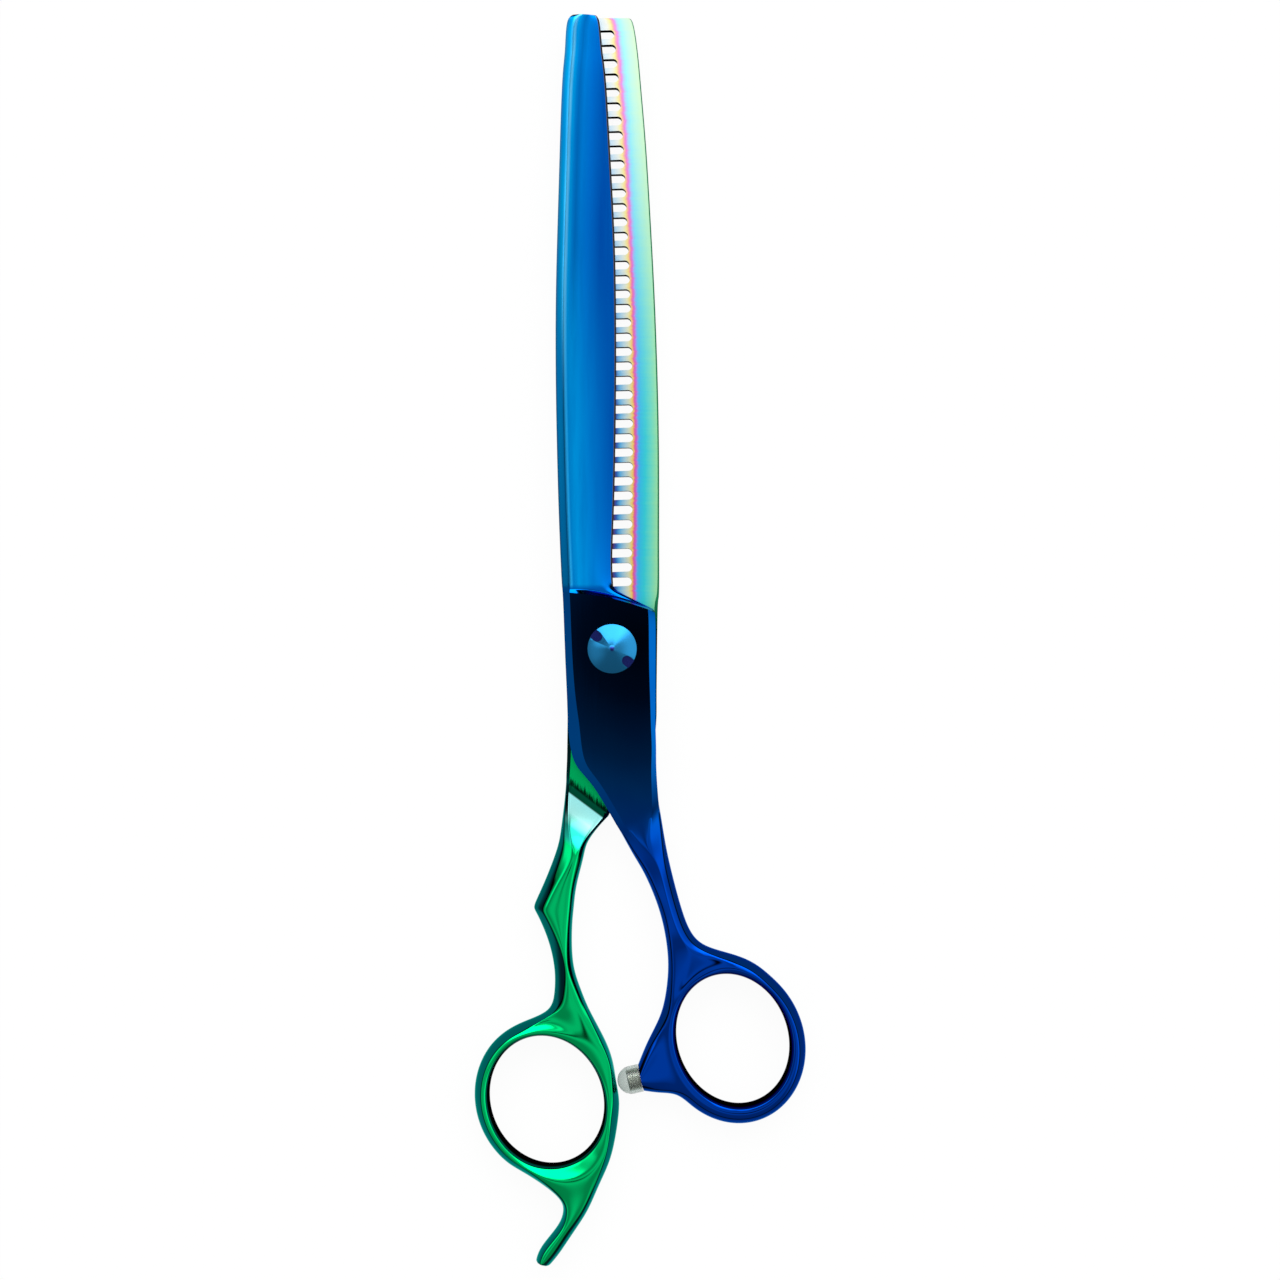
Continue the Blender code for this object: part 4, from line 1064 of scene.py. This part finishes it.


# %% [markdown]
# ### Blue coated steel
# The blade is azure and the handle a deeper blue. The boss is polished to a mirror, the blade's
# face is satin from the wheel, and the fine bevel at the cutting edge is ground bare. Across the
# blade the blue carries painted highlights and painted shade, the bare bevel is painted dark as
# painted shade, and steep walls, their rounded edges and the ring's hole are painted dark as well.

# %% Blue coated steel
ROYAL_BLUE = (0.0, 0.037, 0.32)
BOSS_BLUE = (0.0, 0.11, 0.45)
# Painted shade: navy on the blue half's steep walls, near black on the wall of its ring's hole.
SHADED_WALL_NAVY = (0.0, 0.022, 0.12)
HOLE_SHADE_NAVY = (0.0, 0.008, 0.06)
BLUE_SHEEN = (0.25, 0.5, 1.0)       # colour of a grazing reflection
# Bare steel of the ground bevel, painted dark as painted shade.
BARE_EDGE_AND_SHADE = (0.1, 0.09, 0.09)
BLADE_WIDTH = 10.0
BLADE_TINTS_HIGHLIGHT_SHADE = (                     # distance from the spine, film colour with painted highlight and shade lines
    (0.0, (0.01, 0.1, 0.22)), (0.4, (0.0, 0.22, 0.55)), (1.0, (0.0, 0.2, 0.5)), (1.3, (0.0, 0.045, 0.14)),
    (1.7, (0.02, 0.4, 0.85)), (2.1, (0.0, 0.22, 0.6)), (3.0, (0.0, 0.3, 0.74)), (5.5, (0.0, 0.2, 0.62)),
    (8.0, (0.0, 0.12, 0.48)), (9.6, (0.0, 0.08, 0.4)),
)
BLADE_TIP_HIGHLIGHT_SHADE = (                 # the same towards the tip
    (0.0, (0.02, 0.13, 0.25)), (0.5, (0.0, 0.22, 0.5)), (0.9, (0.0, 0.3, 0.65)), (1.3, (0.05, 0.45, 0.82)),
    (1.6, (0.13, 0.55, 0.9)), (1.95, (0.0, 0.31, 0.7)), (2.6, (0.0, 0.18, 0.55)), (3.1, (0.0, 0.13, 0.45)),
    (4.0, (0.0, 0.18, 0.6)), (5.3, (0.0, 0.14, 0.56)), (7.5, (0.0, 0.07, 0.38)),
)
TIP_HIGHLIGHT_FROM = (40.0, 75.0)       # along y, as are the next two
BLADE_FOOT = (10.4, 11.4)
NECK_FADE = (-38.0, -20.0)          # from the handle's blue to that of the boss


def spine_line():
    """Height and sideways place of the plain blade's spine, from heel to tip."""
    return [(share, spine) for share, spine, _ in reversed(PLAIN_BLADE)]


def curve_place(nodes, y, line):
    """Sideways place of a line at a height on the blade, in metres."""
    share = nodes.math("DIVIDE", nodes.math("SUBTRACT", y, BLADE_HEEL * MM), BLADE_LENGTH * MM)
    curve = nodes.add("ShaderNodeFloatCurve", {"Value": share})
    set_curve(curve, line)
    return nodes.math("MULTIPLY", nodes.math("SUBTRACT", curve.outputs[0], 0.5), 2 * CURVE_REACH * MM)


def make_blue():
    """Coated steel of the plain half."""
    material = bpy.data.materials.new("blue_film")
    nodes, shader = open_finish(material)
    place, x, y, z, facing = surface(nodes)
    from_spine = nodes.math("SUBTRACT", x, curve_place(nodes, y, spine_line()))
    position = nodes.math("DIVIDE", from_spine, BLADE_WIDTH * MM)
    # Across the blade the blue carries painted highlights and painted shade: bright and dark lines near the
    # spine, darker towards the cutting edge.
    blade, blade_tip = (
        ramp(nodes, position, [(distance / BLADE_WIDTH, colour) for distance, colour in tints])
        for tints in (BLADE_TINTS_HIGHLIGHT_SHADE, BLADE_TIP_HIGHLIGHT_SHADE))
    blade = mix(nodes, spread_mm(nodes, y, TIP_HIGHLIGHT_FROM), blade, blade_tip)
    lines = noise(nodes, place, 60.0, (14.0, 1.0, 14.0), 3.0)
    blade = mix(nodes, spread(nodes, lines, 0.35, 0.75, 0.0, 0.3), blade, BOSS_BLUE)
    on_blade = spread_mm(nodes, y, BLADE_FOOT)
    handle = mix(nodes, spread_mm(nodes, y, NECK_FADE), ROYAL_BLUE, BOSS_BLUE)
    cloud = noise(nodes, place, 90.0)
    handle = mix(nodes, spread(nodes, cloud, 0.4, 0.75, 0.0, 0.25), handle, ROYAL_BLUE)
    face = mix(nodes, on_blade, handle, blade)
    hole = hole_wall_shade(nodes, place, PLAIN_RING)
    # Painted shade: navy walls, black rounded edges and a near black wall in the ring's hole.
    coat = mix(nodes, hole, shade_by_facing(nodes, facing, SHADED_WALL_NAVY, CREASE_SHADE_BLACK, face), HOLE_SHADE_NAVY)
    # The ground bevel at the cutting edge: bare steel, painted dark as painted shade.
    on_edge = nodes.math("MULTIPLY", nodes.math("LESS_THAN", z, (PLAIN_RIDE + BEVEL_RISE + 0.02) * MM),
                         nodes.math("GREATER_THAN", y, BLADE_HEEL * MM))
    on_edge = nodes.math("MULTIPLY", on_edge, nodes.math("GREATER_THAN", x, -7 * MM))
    nodes.feed(shader.inputs["Base Color"], mix(nodes, on_edge, coat, BARE_EDGE_AND_SHADE))
    nodes.feed(shader.inputs["Roughness"], spread(nodes, nodes.math("ADD", on_blade, nodes.math(
        "MULTIPLY", lines, 0.15)), 0.0, 1.15, 0.03, 0.24))
    shader.inputs["Metallic"].default_value = 1.0
    # The grazing reflection on the hole wall is tinted dark as well, as painted shade.
    nodes.feed(shader.inputs["Specular Tint"], mix(nodes, hole, BLUE_SHEEN, HOLE_SHADE_NAVY))
    bump(nodes, shader, lines, 0.05, 0.02)
    return material


plain_half.data.materials.clear()
plain_half.data.materials.append(make_blue())
print("blue coat on", plain_half.name)

# %% [markdown]
# ### Green coated steel
# On the comb the film thins out towards the teeth, so the tint runs through the spectrum: green at
# the spine, then blue, magenta and yellow at the slots, and pale blue to red along the teeth. The
# tints follow the line of the slot roots, drawn with the same points that place the slots. Towards
# the tip they are painted paler, as a painted highlight. The face was ground across, and its fine
# lines lie at right angles to the blade. Below the boss a shaded band with brush strokes leads to the
# ramp, whose painted highlight is mint-white at its foot and turns to turquoise. Slot walls, the
# handle's steep walls, their rounded edges and the ring's hole are painted dark, as painted shade.

# %% Green coated steel
EMERALD = (0.0, 0.47, 0.13)
# Painted shade: teal on the handle's steep walls, near black on slot walls and the ring's hole wall, a darker
# green on the comb blade's rounded edges.
SHADED_WALL_TEAL = (0.0, 0.09, 0.09)
SHADED_SLOT_WALL = (0.003, 0.004, 0.004)
HOLE_SHADE_TEAL = (0.0, 0.035, 0.03)
TEAL_SHEEN = (0.3, 0.9, 0.8)        # colour of a grazing reflection
SHADED_SPINE_GREEN = (0.02, 0.3, 0.12)
SHADED_GREEN = (0.0, 0.07, 0.035)
RAMP_SLANT = 0.746                  # the ramp's foot is a slanting line
SATIN_END = -28.7                   # where the satin ends and where the ramp starts, along y
RAMP_FOOT_LINE = -30.8
RAMP_TINTS_AND_HIGHLIGHT = (                      # place down the ramp, film colour with a painted highlight
    (-40.2, EMERALD), (-39.0, (0.01, 0.42, 0.3)), (-36.8, (0.02, 0.48, 0.37)), (-35.0, (0.25, 0.8, 0.7)),
    (-34.2, (0.45, 1.0, 0.95)), (-31.2, (0.4, 1.0, 1.0)),
)
TINT_REACH = 5.0                    # distance from the roots that the tints cover, each way
TINTS = (                           # distance from the slot roots, positive towards the spine
    (-4.2, (0.2, 0.02, 0.08)), (-3.4, (0.12, 0.03, 0.14)), (-2.8, (0.03, 0.13, 0.52)),
    (-2.2, (0.12, 0.47, 0.82)), (-1.3, (0.45, 0.68, 0.78)), (-0.5, (0.75, 0.78, 0.55)),
    (0.0, (0.95, 0.7, 0.16)), (0.3, (0.9, 0.15, 0.3)), (0.6, (0.65, 0.14, 0.7)),
    (0.95, (0.12, 0.45, 0.98)), (1.3, (0.05, 0.58, 0.9)), (2.2, (0.05, 0.7, 0.78)),
    (3.2, (0.17, 0.8, 0.64)), (4.2, (0.34, 0.86, 0.48)), (5.0, (0.45, 0.9, 0.48)),
)
TIP_TINTS_AND_HIGHLIGHT = (                       # the same at the tip, where the film is thinnest, paled by a painted highlight
    (-2.0, (0.7, 0.85, 0.95)), (-0.9, (0.9, 0.92, 0.85)), (-0.2, (0.98, 0.88, 0.35)),
    (0.15, (0.98, 0.45, 0.5)), (0.5, (0.92, 0.3, 0.85)), (0.85, (0.55, 0.7, 1.0)),
    (1.3, (0.4, 0.95, 1.0)), (2.2, (0.6, 1.0, 0.85)), (3.4, (0.72, 1.0, 0.7)),
)
PALE_TIP_SPAN = (30.0, BLADE_TIP)       # along y, as is the next
COMB_FOOT = (2.0, 10.0)
SCALLOP = 0.06                      # how far the tints bend round each slot
TINT_BLUR = 0.6                     # how far the ground lines push the tints
STROKE_LENGTH = 3.0                 # brush strokes where the satin ends
SATIN_FADE = 0.8


def finish_green(material):
    """Coated steel of the comb half."""
    nodes, shader = open_finish(material)
    place, x, y, z, facing = surface(nodes)
    lines = noise(nodes, place, 40.0, (1.0, 60.0, 1.0), 4.0)
    from_root = nodes.math("SUBTRACT", x, curve_place(nodes, y, root_line()))
    past_slot = nodes.math("SUBTRACT", y, FIRST_SLOT * MM)
    phase = nodes.math("MULTIPLY", past_slot, 2 * math.pi / (TOOTH_PITCH * MM))
    scallop = nodes.math("MULTIPLY", nodes.math("COSINE", phase), SCALLOP * MM)
    from_root = nodes.math("ADD", nodes.math("SUBTRACT", from_root, scallop), nodes.math(
        "MULTIPLY", nodes.math("SUBTRACT", lines, 0.5), TINT_BLUR * MM))
    width = 2 * TINT_REACH
    position = nodes.math("ADD", nodes.math("DIVIDE", from_root, width * MM), 0.5)
    tint, tip_tint_and_highlight = (
        ramp(nodes, position, [((distance + TINT_REACH) / width, colour) for distance, colour in tints])
        for tints in (TINTS, TIP_TINTS_AND_HIGHLIGHT))
    # Towards the tip the tints turn paler, as a painted highlight.
    tint = mix(nodes, spread_mm(nodes, y, PALE_TIP_SPAN), tint, tip_tint_and_highlight)
    on_comb = spread_mm(nodes, y, COMB_FOOT)
    strokes = noise(nodes, place, 160.0, (28.0, 3.0, 1.0), 3.0)
    to_ramp = nodes.math("ADD", y, nodes.math("MULTIPLY", x, RAMP_SLANT))
    ragged = nodes.math("ADD", to_ramp, nodes.math(
        "MULTIPLY", nodes.math("SUBTRACT", strokes, 0.5), STROKE_LENGTH * MM))
    satin = spread_mm(nodes, ragged, (SATIN_END - SATIN_FADE, SATIN_END + SATIN_FADE))
    past_foot = spread(nodes, to_ramp, (RAMP_FOOT_LINE - 0.4) * MM, RAMP_FOOT_LINE * MM, 1.0, 0.0)
    # The ramp's tints carry a painted highlight, mint-white near its foot.
    low, high = RAMP_TINTS_AND_HIGHLIGHT[0][0], RAMP_TINTS_AND_HIGHLIGHT[-1][0]
    down_ramp = nodes.math("DIVIDE", nodes.math("SUBTRACT", to_ramp, low * MM), (high - low) * MM)
    ramp_tint_and_highlight = ramp(nodes, down_ramp, [((at - low) / (high - low), colour) for at, colour in RAMP_TINTS_AND_HIGHLIGHT])
    plain = mix(nodes, past_foot, mix(nodes, satin, SHADED_GREEN, EMERALD), ramp_tint_and_highlight)
    face = mix(nodes, on_comb, plain, tint)
    # Painted shade: teal handle walls, near black slot walls, black or darker green rounded edges and a near
    # black hole wall.
    wall = mix(nodes, on_comb, SHADED_WALL_TEAL, SHADED_SLOT_WALL)
    edge = mix(nodes, on_comb, CREASE_SHADE_BLACK, SHADED_SPINE_GREEN)
    hole = hole_wall_shade(nodes, place, COMB_RING)
    coat = mix(nodes, hole, shade_by_facing(nodes, facing, wall, edge, face), HOLE_SHADE_TEAL)
    nodes.feed(shader.inputs["Base Color"], coat)
    nodes.feed(shader.inputs["Roughness"], spread(nodes, satin, 0.0, 1.0, 0.09, 0.32))
    shader.inputs["Metallic"].default_value = 1.0
    # Grazing reflections on slot walls and the hole wall are tinted dark too, as painted shade.
    slot_wall_shade = nodes.math("MULTIPLY", on_comb, spread(nodes, facing, 0.3, 0.6, 1.0, 0.0))
    sheen = mix(nodes, hole, mix(nodes, slot_wall_shade, TEAL_SHEEN, SHADED_SLOT_WALL), HOLE_SHADE_TEAL)
    nodes.feed(shader.inputs["Specular Tint"], sheen)
    bump(nodes, shader, nodes.math("MULTIPLY", lines, satin), 0.4, 0.02)


finish_green(green_film)
print("green coat on", comb_half.name)

# %% [markdown]
# ### Turned steel, bare steel, nylon, bronze and clear rubber
# A lathe leaves rings that are too fine to see one by one. They stretch a highlight into a streak
# that runs out from the centre, which the shader's anisotropy gives. Walls, the key slots and the
# screw's point are painted darker, as painted shade.

# %% Turned steel and the small parts
TURNED_BLUE = (0.015, 0.18, 0.38)
SCREW_SHADE_BLUE = (0.02, 0.03, 0.2)
POINT_SHADE = (0.25, 0.55)                  # radius of the painted shade at the screw's point, and where it has faded


def rings(nodes, place, spacing):
    """Fine rings about the pivot."""
    return nodes.add("ShaderNodeTexWave", {"Vector": place, "Scale": 1 / (2 * math.pi * spacing * MM)},
                     wave_type="RINGS", rings_direction="Z").outputs[0]


def make_turned(name, colour, wall, roughness, floor=-1.0):
    """Lathe-turned metal with painted shade: darker on its walls, below a floor height and at the point."""
    material = bpy.data.materials.new(name)
    nodes, shader = open_finish(material)
    place, x, y, z, facing = surface(nodes)
    turning = rings(nodes, place, 0.06)
    face = mix(nodes, spread(nodes, turning, 0.0, 1.0, 0.0, 0.12), colour, wall)
    from_axis = nodes.math("SQRT", nodes.math(
        "ADD", nodes.math("MULTIPLY", x, x), nodes.math("MULTIPLY", y, y)))
    # Painted shade: the shade colour at the point, on walls and below the floor height.
    face = mix(nodes, spread_mm(nodes, from_axis, POINT_SHADE), wall, face)
    lit = nodes.math("MULTIPLY", spread(nodes, facing, 0.3, 0.8), nodes.math("GREATER_THAN", z, floor * MM))
    nodes.feed(shader.inputs["Base Color"], mix(nodes, lit, wall, face))
    nodes.feed(shader.inputs["Roughness"], spread(nodes, turning, 0.0, 1.0, roughness, roughness + 0.08))
    shader.inputs["Metallic"].default_value = 1.0
    shader.inputs["Anisotropic"].default_value = 0.6
    tangent = nodes.add("ShaderNodeTangent", direction_type="RADIAL", axis="Z")
    nodes.feed(shader.inputs["Tangent"], tangent.outputs[0])
    bump(nodes, shader, turning, 0.05, 0.01)
    return material


def make_moulded(name, colour, shade, roughness):
    """Plain moulded plastic with a little mottle."""
    material = bpy.data.materials.new(name)
    nodes, shader = open_finish(material)
    place, *_ = surface(nodes)
    mottle = noise(nodes, place, 700.0)
    nodes.feed(shader.inputs["Base Color"], mix(nodes, spread(nodes, mottle, 0.35, 0.65), colour, shade))
    shader.inputs["Roughness"].default_value = roughness
    bump(nodes, shader, mottle, 0.1, 0.02)
    return material


def make_clear_rubber():
    """Clear rubber with a faint green cast."""
    material = bpy.data.materials.new("clear_silicone")
    nodes, shader = open_finish(material)
    place, *_ = surface(nodes)
    haze = noise(nodes, place, 500.0)
    nodes.feed(shader.inputs["Base Color"], mix(nodes, haze, (0.42, 0.49, 0.46), (0.56, 0.62, 0.59)))
    nodes.feed(shader.inputs["Roughness"], spread(nodes, haze, 0.3, 0.7, 0.06, 0.12))
    shader.inputs["Transmission Weight"].default_value = 0.95
    shader.inputs["IOR"].default_value = 1.41
    return material


# The second colour of each turned finish is its painted shade.
bare_steel = make_turned("plain_steel", (0.62, 0.6, 0.57), (0.3, 0.29, 0.28), 0.22)
bright_steel = make_turned("bright_steel", (1.0, 0.93, 0.87), (0.8, 0.73, 0.67), 0.3)
nylon = make_moulded("natural_nylon", (0.85, 0.83, 0.78), (0.78, 0.75, 0.69), 0.5)
bronze = make_turned("bearing_bronze", (0.6, 0.38, 0.17), (0.3, 0.18, 0.08), 0.3)
finishes = {screw: make_turned("turned_blue_steel", TURNED_BLUE, SCREW_SHADE_BLUE, 0.16, BOSS_TOP),
            nut: bare_steel, stud: bright_steel, dome: make_clear_rubber()}
for piece, finish in finishes.items():
    piece.data.materials.clear()
    piece.data.materials.append(finish)
for node, finish in (("thrust_washer", nylon), ("ride_washer", nylon), ("spring_washer", bare_steel),
                     ("pivot_bush", bronze)):
    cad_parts[node].data.materials.clear()
    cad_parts[node].data.materials.append(finish)
print("finishes:", ", ".join(finish.name for finish in finishes.values()))

# %% [markdown]
# ## Studio
# Polished steel shows its surroundings, so the light is a dome that is drawn rather than a row of
# lamps: dark straight above, where the camera stands, and bright soft boxes round it. The floor is
# white paper, and keeps a soft shadow.

# %% Studio
SoftBox = namedtuple("SoftBox", "azimuth half soft near far fade strength")
DOME_LEVELS = ((0.0, 0.005), (1.5, 0.02), (3.0, 0.1), (4.0, 0.25), (6.0, 0.6), (9.0, 0.95), (14.0, 0.95),
               (26.0, 0.45), (60.0, 0.38), (72.0, 0.35), (79.0, 0.03), (90.0, 0.02))
SOFT_BOXES = (
    SoftBox(90.0, 42.0, 14.0, 36.0, 68.0, 4.0, 4.0), SoftBox(62.0, 13.0, 6.0, 23.0, 37.0, 3.0, 1.9),
    SoftBox(92.0, 10.0, 6.0, 23.0, 32.0, 3.0, 1.4), SoftBox(10.0, 40.0, 15.0, 22.0, 46.0, 6.0, 0.5),
    SoftBox(15.0, 50.0, 20.0, 44.0, 66.0, 8.0, 1.4), SoftBox(150.0, 20.0, 6.0, 34.0, 52.0, 4.0, 1.1),
    SoftBox(180.0, 40.0, 20.0, 40.0, 60.0, 8.0, 0.5),
)
FLOOR_SIDE = 3.0
FLOOR_COLOUR = (0.86, 0.86, 0.86)
PAPER_GLOW = 0.95                   # share of the floor that shows as plain white


def make_world():
    """Dome with a dark top and soft boxes."""
    world = bpy.data.worlds.new("studio")
    world.use_nodes = True
    scene.world = world
    nodes = Nodes(world.node_tree)
    background = world.node_tree.nodes["Background"]
    place = nodes.add("ShaderNodeTexCoord").outputs["Generated"]
    look = nodes.add("ShaderNodeVectorMath", {0: place}, operation="NORMALIZE").outputs[0]

    along = nodes.add("ShaderNodeSeparateXYZ", {0: look}).outputs
    from_top = nodes.math("DEGREES", nodes.math("ARCCOSINE", along["Z"]))
    light = ramp(nodes, nodes.math("DIVIDE", from_top, 180.0),
                 [(angle / 180, (level,) * 3) for angle, level in DOME_LEVELS])
    bearing = nodes.math("DEGREES", nodes.math("ARCTAN2", along["Y"], along["X"]))
    for box in SOFT_BOXES:
        turn = nodes.math("WRAP", nodes.math("SUBTRACT", bearing, box.azimuth), 180.0, -180.0)
        sides = spread(nodes, nodes.math("ABSOLUTE", turn),
                       box.half - box.soft, box.half + box.soft, 1.0, 0.0)
        below = spread(nodes, from_top, box.near - box.fade, box.near + box.fade)
        above = spread(nodes, from_top, box.far - box.fade, box.far + box.fade, box.strength, 0.0)
        glow = nodes.math("MULTIPLY", sides, nodes.math("MULTIPLY", below, above))
        colour = nodes.add("ShaderNodeCombineColor", {0: glow, 1: glow, 2: glow}).outputs[0]
        light = mix(nodes, 1.0, light, colour, "ADD")
    rays = nodes.add("ShaderNodeLightPath").outputs
    nodes.feed(background.inputs["Color"], mix(nodes, rays["Is Camera Ray"], light, (1.0, 1.0, 1.0)))


def make_floor():
    """White paper under the shears."""
    mesh = bmesh.new()
    bmesh.ops.create_grid(mesh, x_segments=1, y_segments=1, size=FLOOR_SIDE / 2)
    floor = new_piece("floor", mesh)
    material = bpy.data.materials.new("white_paper")
    nodes, shader = open_finish(material)
    place, *_ = surface(nodes)
    grain = noise(nodes, place, 900.0)
    nodes.feed(shader.inputs["Base Color"], mix(nodes, grain, FLOOR_COLOUR, (0.88, 0.88, 0.88)))
    shader.inputs["Roughness"].default_value = 0.9
    rays = nodes.add("ShaderNodeLightPath").outputs
    seen = nodes.math("MAXIMUM", rays["Is Camera Ray"], nodes.math(
        "MAXIMUM", rays["Is Glossy Ray"], rays["Is Transmission Ray"]))
    white = nodes.add("ShaderNodeEmission", {"Color": (1.0, 1.0, 1.0, 1.0), "Strength": 1.0}).outputs[0]
    paper = nodes.add("ShaderNodeMixShader", {0: nodes.math("MULTIPLY", seen, PAPER_GLOW)})
    nodes.feed(paper.inputs[1], shader.outputs[0])
    nodes.feed(paper.inputs[2], white)
    nodes.feed(material.node_tree.nodes["Material Output"].inputs["Surface"], paper.outputs[0])
    floor.data.materials.append(material)


make_world()
make_floor()
print("soft boxes:", len(SOFT_BOXES))

# %% [markdown]
# ## Hand over
# Each piece rides on the body that carries it and stands for its solid; the finish named with it is not used.

# %% Hand over
for piece, body, node, slot in (
        (plain_half, "plain_half", "plain_blade", "blue_coated_steel"),
        (comb_half, "comb_half", "comb_blade", "green_coated_steel"),
        (screw, "tension_screw", "pivot_screw", "turned_steel"),
        (nut, "comb_half", "pivot_nut", "bare_steel"),
        (dome, "plain_half", "bumper_cap", "clear_rubber"),
        (stud, "plain_half", "bumper_stud", "bare_steel")):
    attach(piece, body)
    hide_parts(node)
